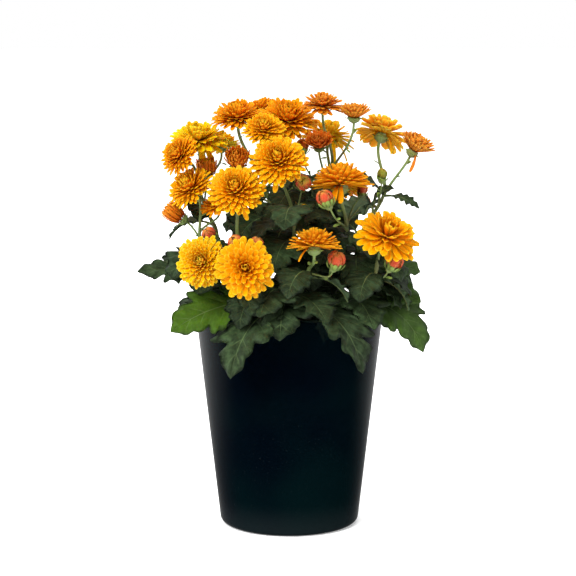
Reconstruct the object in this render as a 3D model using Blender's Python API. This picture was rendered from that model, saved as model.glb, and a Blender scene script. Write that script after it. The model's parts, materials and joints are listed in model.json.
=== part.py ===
"""Pot chrysanthemum: a glossy black pot, its soil, five leafy cuttings and their orange heads.

The origin is the middle of the pot's base, +Z is up and the plant's front faces -Y.
Tables and sizes are in millimetres and degrees; MM turns them into metres.
"""
import math
from collections import namedtuple

import bpy
from mathutils import Quaternion, Vector
from mathutils.bvhtree import BVHTree

MM = 0.001
SHARP_ANGLE = 40

# Pot, a turned shell with a rounded foot and a rounded lip
POT_HEIGHT = 188.0
POT_RIM_RADIUS = 80.0
POT_BASE_RADIUS = 58.5
POT_WALL = 4.0
POT_FLOOR = 5.0
POT_FOOT_FILLET = 5.0
POT_CURVE_STEPS = 3
POT_SIDES = 36

# Soil, which fills the pot to a little under the lip.
# Its surface is given by shares of its radius and heights over SOIL_TOP
GAP = 0.3
SOIL_TOP = 170.0
SOIL_SURFACE = ((1.0, -5.0), (0.93, -1.0), (0.62, 3.2), (0.25, 4.0))
SOIL_SIDES = 30
HOLE_FLOOR = 140.0
HOLE_TOP = 182.0
STEM_FREE_FROM = 178.0

# Green stems
STEM_SIDES = 6
STEM_SPANS = 5
SHOOT_SIDES = 5
SHOOT_SPANS = 4
STALK_SIDES = 4
SHOOT_EASE = 0.3
STALK_RADIUS = 1.05
SHORT_STALK = 32.0
SHORT_STALK_SPANS = 2
LONG_STALK_SPANS = 3
STALK_EASE = 0.33
STALK_FIRST_SIDE = (0.3, 1.0, 0.1)

# Calyx, the green cup under a head: shares of its depth and of its radius
CALYX_DEPTH = 5.0
CALYX_RINGS = ((0.45, 0.86), (1.0, 1.0))
BLOOM_CALYX_RADIUS = 4.6
BUD_CALYX_RADIUS = 3.3

# Leaves
LEAF_THICKNESS = 1.4
PETIOLE_HALF_WIDTH = 1.0
PETIOLE_SHARE = 0.2
LEAF_FOLD = 0.1
LEAF_CLEARANCE = 0.5
GOLDEN_ANGLE = 137.5
LEAF_TURNS = (0, 10, -10, 20, -20, 32, -32, 46, -46)
LEAF_LIFTS = (0, 10, -10, 20)
LEAF_SCALES = (1.0, 0.85, 0.72)

# Heads. A head sits below the middle given for it, by a share of its radius
OPEN_FROM = 0.6
OPEN_SEAT_SHARE = 0.3
SHUT_SEAT_SHARE = 0.95

# Core that petals grow from: shares of its radius out and up, and its turn in steps, from the seat up
CORE_SHARE = 0.25
CORE_LEAST = 4.2
CORE_RINGS = ((1.0, 0.0, 0.0), (1.15, 0.75, 0.5), (0.62, 1.35, 0.0))
CORE_SIDES = ((22.0, 7), (20.0, 6), (0.0, 5))
CROWN_SHARE = 0.12

# Petal layers from the outermost in: elevation when open, share of the radius reached, half width
PETAL_LAYERS = ((-4, 1.0, 0.165), (15, 0.97, 0.165), (36, 0.86, 0.15), (58, 0.72, 0.12))
SHUT_LIFT = 66
SHUT_LIFT_STEP = 6
PETAL_DEPTH = 1.5
PETAL_WIDEST = 0.70
PETAL_CURL = 0.10

# Bud from its seat up: shares of its radius out and up, then the height of its tip
BUD_RINGS = ((0.42, 0.0), (0.92, 0.42), (1.0, 0.95), (0.72, 1.55))
BUD_TIP = 1.95
BUD_RIDGES = 5
BUD_GROOVE = 0.86

# Finishes: name, colour as red green blue from 0 to 1, roughness
POT_BLACK = ("pot_black", (0.012, 0.015, 0.017), 0.12)
SOIL_BROWN = ("soil_brown", (0.05, 0.032, 0.02), 0.95)
LEAF_GREEN = ("leaf_green", (0.06, 0.13, 0.045), 0.6)
PETAL_ORANGE = ("petal_orange", (0.85, 0.33, 0.02), 0.6)
PETAL_YELLOW = ("petal_yellow", (0.85, 0.5, 0.02), 0.6)
PETAL_RED = ("petal_red", (0.55, 0.09, 0.03), 0.6)

# A shoot leaves its parent at a share of its length and ends at the point given.
# Rows: shoot, plant, parent, share, x, y, z, thickness at the foot and at the end
SHOOTS = (
    ("middle", "middle", None, (0, 4), 1, 6, 262, 3.2, 2.3),
    ("middle_a", "middle", "middle", 0.62, -24, -12, 306, 1.8, 1.4),
    ("middle_b", "middle", "middle", 0.97, 36, 8, 306, 1.8, 1.4),
    ("middle_c", "middle", "middle", 0.40, 4, -48, 266, 1.8, 1.4),
    ("left", "left", None, (-37, -2), -60, -12, 246, 3.1, 2.3),
    ("left_a", "left", "left", 0.97, -74, -10, 286, 1.8, 1.4),
    ("left_b", "left", "left", 0.62, -74, -42, 254, 1.8, 1.4),
    ("left_c", "left", "left", 0.42, -62, 34, 244, 1.8, 1.4),
    ("right", "right", None, (37, -2), 60, -8, 246, 3.1, 2.3),
    ("right_a", "right", "right", 0.97, 80, 0, 286, 1.8, 1.4),
    ("right_b", "right", "right", 0.34, 72, -46, 226, 1.8, 1.4),
    ("right_c", "right", "right", 0.46, 68, 36, 226, 1.8, 1.4),
    ("right_d", "right", "right", 0.74, 47, -40, 262, 1.7, 1.3),
    ("front", "front", None, (1, -37), -6, -56, 216, 3.0, 2.3),
    ("front_a", "front", "front", 0.97, -42, -70, 256, 1.8, 1.4),
    ("front_b", "front", "front", 0.60, -42, -78, 218, 1.8, 1.4),
    ("front_c", "front", "front", 0.70, 16, -70, 230, 1.8, 1.4),
    ("back", "back", None, (0, 38), 2, 56, 236, 3.1, 2.3),
    ("back_a", "back", "back", 0.80, -24, 56, 270, 1.8, 1.4),
    ("back_b", "back", "back", 0.97, 34, 56, 262, 1.8, 1.4),
    ("back_c", "back", "back", 0.44, 2, 82, 232, 1.8, 1.4),
)

# Rows: head, shoot, share, x, y, z of its middle, azimuth and elevation it faces, radius,
# openness from 0 for a bud to 1, finish
HEADS = (
    ("bloom_top_left", "middle_a", 0.82, -43, -15, 350, -100, 78, 22, 1.0, PETAL_ORANGE),
    ("bloom_top_back", "middle_a", 0.90, -23, 38, 349, 115, 62, 16, 0.9, PETAL_YELLOW),
    ("bloom_top_middle", "middle_a", 0.98, -1, 6, 346, -82, 66, 25.5, 1.0, PETAL_ORANGE),
    ("bloom_top_front", "middle_a", 0.75, -21, -48, 342, -90, 58, 17, 1.0, PETAL_YELLOW),
    ("bloom_half_red", "middle_a", 0.55, -43, -40, 320, -95, 55, 13.5, 0.35, PETAL_RED),
    ("bloom_top_right", "middle_b", 0.97, 28, -12, 359, -80, 80, 17, 1.0, PETAL_ORANGE),
    ("bloom_cup_right", "middle_b", 0.85, 54, -22, 361, -60, 86, 14, 0.55, PETAL_ORANGE),
    ("bloom_yellow_behind", "middle_b", 0.75, 34, 32, 329, 60, 74, 21, 1.0, PETAL_YELLOW),
    ("bloom_half_front", "middle_b", 0.60, 24, -22, 334, -95, 62, 13, 0.35, PETAL_RED),
    ("bloom_front_big", "middle_c", 0.95, -9, -72, 319, -92, 44, 23, 1.0, PETAL_ORANGE),
    ("bloom_left_high", "left_a", 0.97, -76, -16, 331, -110, 74, 23, 1.0, PETAL_YELLOW),
    ("bloom_left_inner", "left_a", 0.85, -58, 26, 322, 100, 66, 15, 0.9, PETAL_YELLOW),
    ("bloom_left_face", "left_a", 0.75, -91, -46, 320, -140, 30, 17.5, 1.0, PETAL_ORANGE),
    ("bloom_left_brush", "left_a", 0.60, -69, -22, 311, -120, 84, 10.5, 0.3, PETAL_ORANGE),
    ("bloom_left_side", "left_b", 0.85, -82, -50, 294, -142, 46, 19.5, 1.0, PETAL_ORANGE),
    ("bloom_left_tuck", "left_b", 0.97, -60, -50, 280, -125, 62, 12.5, 0.8, PETAL_ORANGE),
    ("bloom_left_cone", "left_b", 0.60, -98, -36, 272, 184, 36, 12.5, 0.25, PETAL_RED),
    ("bloom_left_behind", "left_c", 0.97, -84, 42, 278, 150, 50, 19.5, 1.0, PETAL_ORANGE),
    ("bloom_right_high", "right_a", 0.97, 79, 8, 334, 55, 56, 21.5, 1.0, PETAL_YELLOW),
    ("bloom_right_far", "right_a", 0.80, 105, -8, 322, -15, 62, 16.5, 0.7, PETAL_RED),
    ("bloom_right_big", "right_b", 0.97, 80, -74, 259, -62, 52, 25, 1.0, PETAL_ORANGE),
    ("bloom_right_flat", "right_d", 0.97, 42, -56, 300, 95, 76, 25, 1.0, PETAL_ORANGE),
    ("bloom_right_behind", "right_c", 0.97, 86, 52, 244, 40, 40, 19.5, 1.0, PETAL_ORANGE),
    ("bloom_low_left", "front_b", 0.97, -71, -88, 238, -104, 16, 21, 1.0, PETAL_ORANGE),
    ("bloom_low_middle", "front_b", 0.80, -35, -110, 236, -88, 12, 22, 1.0, PETAL_ORANGE),
    ("bloom_left_big", "front_a", 0.97, -43, -86, 297, -97, 44, 22.5, 1.0, PETAL_ORANGE),
    ("bloom_middle_side", "front_c", 0.90, 20, -92, 254, 90, 78, 20.5, 1.0, PETAL_ORANGE),
    ("bloom_behind_a", "back_a", 0.97, -10, 58, 306, 95, 58, 21.5, 1.0, PETAL_ORANGE),
    ("bloom_behind_b", "back_a", 0.80, -46, 66, 280, 120, 46, 20.5, 1.0, PETAL_ORANGE),
    ("bloom_behind_c", "back_b", 0.97, 45, 62, 285, 70, 52, 21.5, 1.0, PETAL_ORANGE),
    ("bloom_behind_d", "back_c", 0.97, -26, 102, 242, 105, 30, 20.5, 1.0, PETAL_ORANGE),
    ("bloom_behind_e", "back_c", 0.80, 22, 104, 250, 75, 32, 20.5, 1.0, PETAL_YELLOW),
    ("bud_top_dark", "middle_b", 0.50, 11, 12, 322, 100, 84, 6, 0.0, PETAL_RED),
    ("bud_front_face", "middle_c", 0.85, 11, -64, 299, -88, 24, 7.7, 0.0, PETAL_RED),
    ("bud_front_right", "right_d", 0.80, 28, -80, 289, 165, 62, 7.7, 0.0, PETAL_RED),
    ("bud_right_small", "right_d", 0.90, 60, -40, 291, -60, 86, 5, 0.0, PETAL_RED),
    ("bud_right_green", "right_a", 0.45, 77, -25, 302, -75, 76, 5, 0.0, PETAL_RED),
    ("bud_right_low", "right_b", 0.70, 86, -64, 235, -15, 60, 7.7, 0.0, PETAL_RED),
    ("bud_middle_low", "front_c", 0.75, 38, -88, 240, -25, 72, 7.7, 0.0, PETAL_RED),
    ("bud_left_low", "front_a", 0.60, -66, -68, 258, -135, 50, 6.2, 0.0, PETAL_RED),
    ("bud_left_middle", "front_a", 0.72, -44, -90, 254, -110, 40, 7.0, 0.0, PETAL_RED),
    ("bud_middle", "front_a", 0.45, -26, -84, 253, -70, 55, 6.0, 0.0, PETAL_RED),
    ("bud_behind_right", "back_b", 0.70, 64, 44, 270, 20, 66, 7.0, 0.0, PETAL_RED),
)

# Leaves set by hand: those that hang over and round the rim, and one among the heads.
# Rows: shoot, share, azimuth, elevation at the foot and at the tip, length, width, roll
SET_LEAVES = (
    ("left", 0.46, 186, 18, -6, 82, 34, -50),
    ("left", 0.10, 215, 30, -64, 70, 44, 0),
    ("left", 0.16, 150, 28, -56, 72, 46, 0),
    ("front", 0.22, -133, 26, -76, 110, 60, 12),
    ("front", 0.32, -46, 26, -78, 110, 60, -12),
    ("front", 0.50, -162, 12, -34, 104, 56, -50),
    ("right", 0.10, -26, 32, -74, 102, 56, 24),
    ("front", 0.60, -58, 26, -46, 70, 46, 0),
    ("right", 0.24, 0, 24, -28, 74, 44, 42),
    ("right", 0.56, 4, 20, -22, 62, 38, 45),
    ("right", 0.18, -66, 34, -52, 84, 48, 0),
    ("right", 0.14, 38, 26, -60, 92, 52, 0),
    ("back", 0.10, 60, 28, -66, 94, 54, 0),
    ("back", 0.22, 95, 26, -64, 96, 54, 0),
    ("back", 0.12, 130, 28, -66, 94, 54, 0),
    ("right_a", 0.50, -14, 84, -24, 34, 17, 50),
)

# Leaves up each shoot follow the golden angle, drawn in towards the side that the shoot faces.
# Rows: shoot, azimuth it faces, spread to each side, shares, length of the lowest and of the highest leaf
LEAF_RUNS = (
    ("middle", -90, 180, (0.30, 0.44, 0.58, 0.72, 0.86), 72, 64),
    ("middle_a", -110, 70, (0.10, 0.24, 0.38, 0.52, 0.66), 62, 46),
    ("middle_a", 100, 60, (0.30, 0.56), 58, 48),
    ("middle_b", -80, 80, (0.08, 0.22, 0.36, 0.50, 0.64), 60, 44),
    ("middle_b", 70, 60, (0.30, 0.58), 56, 46),
    ("middle_c", -90, 110, (0.30, 0.46, 0.62, 0.80, 0.94), 62, 48),
    ("left", 210, 110, (0.50, 0.70), 64, 60),
    ("left_a", 170, 120, (0.30, 0.66), 46, 34),
    ("left_b", 220, 110, (0.45, 0.80), 52, 38),
    ("left_c", 150, 110, (0.40, 0.75), 58, 46),
    ("right", -40, 110, (0.42, 0.58, 0.74), 68, 60),
    ("right_a", 0, 140, (0.25, 0.60), 50, 38),
    ("right_b", -60, 110, (0.36, 0.60, 0.84), 54, 46),
    ("right_c", 40, 110, (0.45, 0.80), 60, 50),
    ("right_d", -90, 90, (0.16, 0.34, 0.52, 0.70, 0.88), 60, 42),
    ("front", -90, 130, (0.66, 0.90), 66, 62),
    ("front_a", -80, 100, (0.24, 0.40, 0.56, 0.76), 56, 38),
    ("front_b", -120, 120, (0.50, 0.84), 46, 40),
    ("front_c", -70, 120, (0.35, 0.60, 0.85), 56, 44),
    ("back", 90, 150, (0.46, 0.66, 0.86), 66, 60),
    ("back_a", 120, 130, (0.35, 0.70), 56, 46),
    ("back_b", 60, 130, (0.35, 0.70), 56, 46),
    ("back_c", 90, 130, (0.45, 0.80), 58, 48),
)
RUN_LOW = 200.0
RUN_HIGH = 290.0
RUN_RISE = (20, 34)
RUN_FALL = (-78, -62)
RUN_WIDTH = 0.74
RUN_ROLL = 22

# Half a blade: share of the blade's length and of its half width, from the base to the tip,
# then the midrib's shares, then triangles as indices into midrib (0, 1, ...) and edge (10, 11, ...)
BROAD_BLADE = (
    ((0.00, 0.06), (0.23, 0.78), (0.33, 0.80), (0.32, 0.36), (0.53, 1.00), (0.65, 1.00), (0.62, 0.40),
     (0.77, 0.62), (0.90, 0.46), (1.00, 0.0)),
    (0.00, 0.18, 0.44, 0.70),
    ((0, 10, 1), (10, 11, 1), (11, 12, 1), (1, 12, 13), (1, 13, 2), (2, 13, 14), (2, 14, 15),
     (2, 15, 16), (2, 16, 3), (3, 16, 17), (3, 17, 18), (3, 18, 19)),
)
SMALL_BLADE = (
    ((0.00, 0.08), (0.30, 0.88), (0.44, 0.98), (0.46, 0.42), (0.74, 0.66), (1.00, 0.0)),
    (0.00, 0.38, 0.66),
    ((0, 10, 1), (10, 11, 1), (11, 12, 1), (1, 12, 13), (1, 13, 2), (2, 13, 14), (2, 14, 15)),
)
BROAD_FROM_LENGTH = 64.0

Path = namedtuple("Path", "p0 p1 p2 p3 foot end")
Leaf = namedtuple("Leaf", "root azimuth rise fall length width roll")


def heading(azimuth, elevation):
    """Unit vector that faces an azimuth from +X and an elevation above the horizon."""
    a = math.radians(azimuth)
    e = math.radians(elevation)
    return Vector((math.cos(a) * math.cos(e), math.sin(a) * math.cos(e), math.sin(e)))


def on_path(path, t):
    """Point on a path at the share t of its length."""
    s = 1.0 - t
    return s ** 3 * path.p0 + 3 * s * s * t * path.p1 + 3 * s * t * t * path.p2 + t ** 3 * path.p3


def along_path(path, t):
    """Unit direction of a path at the share t."""
    s = 1.0 - t
    lean = s * s * (path.p1 - path.p0) + 2 * s * t * (path.p2 - path.p1) + t * t * (path.p3 - path.p2)
    return lean.normalized()


def material(finish):
    """Principled material of a finish, made once and then shared."""
    name, colour, roughness = finish
    if name in bpy.data.materials:
        return bpy.data.materials[name]
    made = bpy.data.materials.new(name)
    made.use_nodes = True
    surface = made.node_tree.nodes["Principled BSDF"]
    surface.inputs["Base Color"].default_value = (*colour, 1.0)
    surface.inputs["Roughness"].default_value = roughness
    surface.inputs["Metallic"].default_value = 0.0
    made.diffuse_color = (*colour, 1.0)
    return made


def mesh_object(name, points, faces, finish, smooth=False):
    """Object in one finish from points in millimetres and faces that point outwards."""
    mesh = bpy.data.meshes.new(name)
    mesh.from_pydata([tuple(p * MM) for p in points], [], faces)
    mesh.validate()
    if smooth:
        mesh.shade_smooth()
        mesh.set_sharp_from_angle(angle=math.radians(SHARP_ANGLE))
    mesh.materials.append(material(finish))
    made = bpy.data.objects.new(name, mesh)
    bpy.context.scene.collection.objects.link(made)
    return made


def turned(profile, sides):
    """Points and faces of a solid turned from radii and heights that run from base to crown."""
    points = []
    for radius, height in profile:
        for i in range(sides):
            a = math.tau * i / sides
            points.append(Vector((radius * math.cos(a), radius * math.sin(a), height)))
    faces = [list(reversed(range(sides)))]
    for ring in range(len(profile) - 1):
        low = ring * sides
        for i in range(sides):
            j = (i + 1) % sides
            faces.append((low + i, low + j, low + sides + j, low + sides + i))
    faces.append(list(range(len(points) - sides, len(points))))
    return points, faces


def pot():
    """Pot with a rounded foot, a straight tapered wall and a rounded lip."""
    lean = (POT_RIM_RADIUS - POT_BASE_RADIUS) / POT_HEIGHT
    fillet = POT_FOOT_FILLET
    profile = []
    for step in range(POT_CURVE_STEPS + 1):
        a = math.pi / 2 * step / POT_CURVE_STEPS
        grown = lean * fillet * (1 - math.cos(a))
        profile.append((POT_BASE_RADIUS - fillet * (1 - math.sin(a)) + grown, fillet * (1 - math.cos(a))))
    lip = POT_WALL / 2
    for step in range(POT_CURVE_STEPS + 1):
        a = math.pi * step / POT_CURVE_STEPS
        profile.append((POT_RIM_RADIUS - lip + lip * math.cos(a), POT_HEIGHT - lip + lip * math.sin(a)))
    profile.append((POT_BASE_RADIUS - POT_WALL + lean * POT_FLOOR, POT_FLOOR))
    points, faces = turned(profile, POT_SIDES)
    return mesh_object("pot", points, faces, POT_BLACK, smooth=True)


def soil():
    """Soil with a low crown and a plain hole for each stem."""
    lean = (POT_RIM_RADIUS - POT_BASE_RADIUS) / POT_HEIGHT
    low = POT_FLOOR + GAP
    inner = POT_BASE_RADIUS - POT_WALL - 2 * GAP
    # The wall between two corners of the turned pot lies this share nearer to the axis
    chord = math.cos(math.pi / POT_SIDES)
    edge = (inner + lean * (SOIL_TOP + SOIL_SURFACE[0][1])) * chord
    profile = [((inner + lean * low) * chord, low)]
    profile += [(edge * share, SOIL_TOP + height) for share, height in SOIL_SURFACE]
    points, faces = turned(profile, SOIL_SIDES)
    made = mesh_object("soil", points, faces, SOIL_BROWN, smooth=True)
    cutters = []
    for name, plant, parent, place, *tip, foot, end in SHOOTS:
        if parent is None:
            cutters.append(hole_cutter(name, place, foot + GAP))
    combine(made, cutters, "DIFFERENCE")
    return made


def hole_cutter(name, place, radius):
    """Cylinder that cuts the hole which one stem stands in."""
    profile = ((radius, HOLE_FLOOR), (radius, HOLE_TOP))
    points, faces = turned(profile, STEM_SIDES)
    turn = root_turn(place)
    placed = [turn @ p + Vector((place[0], place[1], 0)) for p in points]
    return mesh_object("hole_" + name, placed, faces, SOIL_BROWN)


def root_turn(place):
    """Turn about the vertical that sets a root's corners alike in stem and hole."""
    return Quaternion((0, 0, 1), math.atan2(place[1], place[0]))


def combine(base, others, operation, solver="EXACT"):
    """One Boolean with a collection, applied, with its objects then removed."""
    group = bpy.data.collections.new(base.name + "_parts")
    bpy.context.scene.collection.children.link(group)
    for item in others:
        bpy.context.scene.collection.objects.unlink(item)
        group.objects.link(item)
    joined = base.modifiers.new("joined", "BOOLEAN")
    joined.operation = operation
    joined.operand_type = "COLLECTION"
    joined.collection = group
    joined.solver = solver
    bpy.context.view_layer.objects.active = base
    bpy.ops.object.modifier_apply(modifier="joined")
    for item in others:
        bpy.data.objects.remove(item)
    bpy.data.collections.remove(group)


def tube(centres, directions, radii, sides, first_side):
    """Points and faces of a closed tube through centres, with its ends square to its directions."""
    side = first_side - first_side.project(directions[0])
    side.normalize()
    points = []
    for k, centre in enumerate(centres):
        if k:
            side.rotate(directions[k - 1].rotation_difference(directions[k]))
        across = directions[k].cross(side)
        for i in range(sides):
            a = math.tau * i / sides
            points.append(centre + radii[k] * (math.cos(a) * side + math.sin(a) * across))
    faces = [list(reversed(range(sides)))]
    for k in range(len(centres) - 1):
        low = k * sides
        for i in range(sides):
            j = (i + 1) % sides
            faces.append((low + i, low + j, low + sides + j, low + sides + i))
    faces.append(list(range(len(points) - sides, len(points))))
    return points, faces


def shoot_paths():
    """Path of each shoot: roots rise straight out of the soil, side shoots leave with their parent."""
    paths = {}
    for name, plant, parent, place, x, y, z, foot, end in SHOOTS:
        tip = Vector((x, y, z))
        if parent is None:
            start = Vector((place[0], place[1], STEM_FREE_FROM))
            reach = (tip - start).length
            rise = start + Vector((0, 0, reach * SHOOT_EASE))
        else:
            start = on_path(paths[parent], place)
            reach = (tip - start).length
            rise = start + along_path(paths[parent], place) * reach * SHOOT_EASE
        ease = tip - Vector((0, 0, reach * SHOOT_EASE))
        paths[name] = Path(start, rise, ease, tip, foot, end)
    return paths


def shoot_object(name, path, is_root):
    """Tube of one shoot; a root goes straight down into its hole with its corners in line with it."""
    spans = STEM_SPANS if is_root else SHOOT_SPANS
    sides = STEM_SIDES if is_root else SHOOT_SIDES
    shares = [k / spans for k in range(spans + 1)]
    centres = [on_path(path, t) for t in shares]
    directions = [along_path(path, t) for t in shares]
    first_side = Vector((1, 0, 0))
    if is_root:
        shares.insert(0, 0.0)
        centres.insert(0, Vector((path.p0.x, path.p0.y, HOLE_FLOOR + GAP)))
        directions.insert(0, Vector((0, 0, 1)))
        first_side = root_turn(path.p0) @ first_side
    radii = [path.foot + (path.end - path.foot) * t for t in shares]
    points, faces = tube(centres, directions, radii, sides, first_side)
    return mesh_object(name, points, faces, LEAF_GREEN)


def head_seat(row):
    """Where a head's flat base sits and the way it faces."""
    azimuth, elevation, radius, openness = row[6:10]
    facing = heading(azimuth, elevation)
    share = OPEN_SEAT_SHARE if openness > OPEN_FROM else SHUT_SEAT_SHARE
    return Vector(row[3:6]) - facing * radius * share, facing


def stalk_path(paths, row):
    """Path of the stalk that carries a head, from its shoot to the foot of its calyx."""
    seat, facing = head_seat(row)
    shoot = paths[row[1]]
    start = on_path(shoot, row[2])
    end = seat - facing * CALYX_DEPTH
    reach = (end - start).length
    rise = start + along_path(shoot, row[2]) * reach * STALK_EASE
    return Path(start, rise, end - facing * reach * STALK_EASE, end, STALK_RADIUS, STALK_RADIUS)


def stalk_object(paths, row):
    """Stalk with the green calyx cup that carries the head."""
    path = stalk_path(paths, row)
    seat, facing = head_seat(row)
    reach = (path.p3 - path.p0).length
    spans = SHORT_STALK_SPANS if reach < SHORT_STALK else LONG_STALK_SPANS
    shares = [k / spans for k in range(spans + 1)]
    centres = [on_path(path, t) for t in shares]
    directions = [along_path(path, t) for t in shares]
    radii = [STALK_RADIUS] * len(shares)
    cup = BUD_CALYX_RADIUS if row[9] == 0.0 else BLOOM_CALYX_RADIUS
    for share, size in CALYX_RINGS:
        centres.append(seat - facing * (CALYX_DEPTH * (1 - share) + GAP * share))
        directions.append(facing)
        radii.append(cup * size)
    points, faces = tube(centres, directions, radii, STALK_SIDES, Vector(STALK_FIRST_SIDE))
    return mesh_object("stalk_" + row[0], points, faces, LEAF_GREEN)


def leaf_frame(leaf, share):
    """Point on the midrib at a share of the leaf's length, with its side and upper directions."""
    rise = math.radians(leaf.rise)
    fall = math.radians(leaf.fall)
    bend = fall - rise
    here = rise + bend * share
    out = leaf.length * (math.sin(here) - math.sin(rise)) / bend
    up = leaf.length * (math.cos(rise) - math.cos(here)) / bend
    point = leaf.root + heading(leaf.azimuth, 0) * out + Vector((0, 0, up))
    ahead = heading(leaf.azimuth, math.degrees(here))
    side = heading(leaf.azimuth + 90, 0)
    side.rotate(Quaternion(ahead, math.radians(leaf.roll) * share))
    return point, side, ahead.cross(side)


def leaf_solid(leaf, swell=0.0, with_petiole=True):
    """Points and faces of a lobed blade, thickest at its midrib and split alike on both faces."""
    edge, rib, half = BROAD_BLADE if leaf.length >= BROAD_FROM_LENGTH else SMALL_BLADE
    blade = 1.0 - PETIOLE_SHARE
    points = []
    index = {}

    def add(key, share, offset, lift):
        point, side, upper = leaf_frame(leaf, share)
        index[key] = len(points)
        points.append(point + side * offset + upper * (abs(offset) * LEAF_FOLD + lift))

    def add_ring(key, share):
        """Four points round the midrib or the petiole."""
        lift = LEAF_THICKNESS / 2 + swell
        add((key, "over"), share, 0.0, lift)
        add((key, "under"), share, 0.0, -lift)

    for k, share in enumerate(rib):
        add_ring(k, PETIOLE_SHARE + blade * share)
    for hand in (1, -1):
        for k, (share, width) in enumerate(edge[:-1]):
            offset = max(width * leaf.width / 2, PETIOLE_HALF_WIDTH) + swell
            add((hand, k), PETIOLE_SHARE + blade * share, hand * offset, 0.0)
    add("tip", 1.0, 0.0, 0.0)

    def corner(code, hand, layer):
        if code < 10:
            return index[(code, layer)]
        if code - 10 == len(edge) - 1:
            return index["tip"]
        return index[(hand, code - 10)]

    faces = []
    for a, b, c in half:
        for hand, layer in ((1, "over"), (-1, "under")):
            faces.append(tuple(corner(i, hand, layer) for i in (a, c, b)))
            faces.append(tuple(corner(i, -hand, layer) for i in (a, b, c)))
    collar = [index[(1, 0)], index[(0, "over")], index[(-1, 0)], index[(0, "under")]]
    if with_petiole:
        add_ring("root", 0.0)
        add("left", 0.0, PETIOLE_HALF_WIDTH + swell, 0.0)
        add("right", 0.0, -PETIOLE_HALF_WIDTH - swell, 0.0)
        root = [index["left"], index[("root", "over")], index["right"], index[("root", "under")]]
        for k in range(4):
            m = (k + 1) % 4
            faces.append((collar[k], root[k], root[m], collar[m]))
        collar = root
    faces.append(tuple(reversed(collar)))
    return points, faces


def leaf_rows(paths):
    """Every leaf that the plant may carry, low ones first, as plant name and leaf."""
    rows = []
    plants = {row[0]: row[1] for row in SHOOTS}
    for shoot, share, azimuth, rise, fall, length, width, roll in SET_LEAVES:
        root = on_path(paths[shoot], share)
        rows.append((plants[shoot], Leaf(root, azimuth, rise, fall, length, width, roll)))
    for shoot, facing, spread, shares, longest, shortest in LEAF_RUNS:
        for k, share in enumerate(shares):
            length = longest + (shortest - longest) * k / (len(shares) - 1)
            turn = (GOLDEN_ANGLE * k + 180) % 360 - 180
            azimuth = facing + spread * turn / 180
            root = on_path(paths[shoot], share)
            roll = RUN_ROLL * math.sin(GOLDEN_ANGLE * (k + 0.5))
            # Leaves droop low on the plant and stand up among the heads
            height = min(max((root.z - RUN_LOW) / (RUN_HIGH - RUN_LOW), 0), 1)
            rise = RUN_RISE[0] + (RUN_RISE[1] - RUN_RISE[0]) * height
            fall = RUN_FALL[0] + (RUN_FALL[1] - RUN_FALL[0]) * height
            rows.append((plants[shoot], Leaf(root, azimuth, rise, fall, length, length * RUN_WIDTH, roll)))
    return rows


def leaf_trials(leaf):
    """The leaf as planned, then turned, lifted or shortened."""
    for scale in LEAF_SCALES:
        for lift in LEAF_LIFTS:
            for turn in LEAF_TURNS:
                yield leaf._replace(azimuth=leaf.azimuth + turn, rise=leaf.rise + lift,
                                    fall=leaf.fall + lift, length=leaf.length * scale,
                                    width=leaf.width * scale)


def tree_of(points, faces):
    """Search tree of a piece, in millimetres."""
    return BVHTree.FromPolygons(points, faces)


def object_tree(item):
    """Search tree of an object that is already made."""
    mesh = item.data
    return tree_of([v.co / MM for v in mesh.vertices], [tuple(p.vertices) for p in mesh.polygons])


def clear_leaf(leaf, plant, trees):
    """First trial that stays clear of every other piece, or nothing."""
    for trial in leaf_trials(leaf):
        whole = tree_of(*leaf_solid(trial, LEAF_CLEARANCE))
        blade = tree_of(*leaf_solid(trial, LEAF_CLEARANCE, False))
        hits = any((blade if owner == plant else whole).overlap(tree) for owner, tree in trees)
        if not hits:
            return trial
    return None


def leafy_stems(paths, heads, others):
    """One fused green node for each cutting: its shoots, stalks, calyces and leaves."""
    plants = {row[0]: row[1] for row in SHOOTS}
    pieces = {name: [] for name in ("middle", "left", "right", "front", "back")}
    for name, plant, parent, *rest in SHOOTS:
        made = shoot_object("stem_" + name if parent is None else name, paths[name], parent is None)
        pieces[plant].append(made)
    for row in HEADS:
        pieces[plants[row[1]]].append(stalk_object(paths, row))
    trees = [("", object_tree(item)) for item in others + heads]
    trees += [(plant, object_tree(item)) for plant, items in pieces.items() for item in items]
    for number, (plant, leaf) in enumerate(leaf_rows(paths)):
        placed = clear_leaf(leaf, plant, trees)
        if placed:
            points, faces = leaf_solid(placed)
            trees.append((plant, tree_of(points, faces)))
            pieces[plant].append(mesh_object(f"leaf_{number}", points, faces, LEAF_GREEN))
    for items in pieces.values():
        combine(items[0], items[1:], "UNION", "MANIFOLD")
    return [items[0] for items in pieces.values()]


def petal_layers(radius, openness):
    """Elevation, reach and half width of each layer's petals, from the outermost in."""
    layers = []
    for layer, (open_lift, reach, wide) in enumerate(PETAL_LAYERS):
        shut_lift = SHUT_LIFT + SHUT_LIFT_STEP * layer
        lift = shut_lift + (open_lift - shut_lift) * openness
        layers.append((lift, radius * reach, radius * wide))
    return layers


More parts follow.
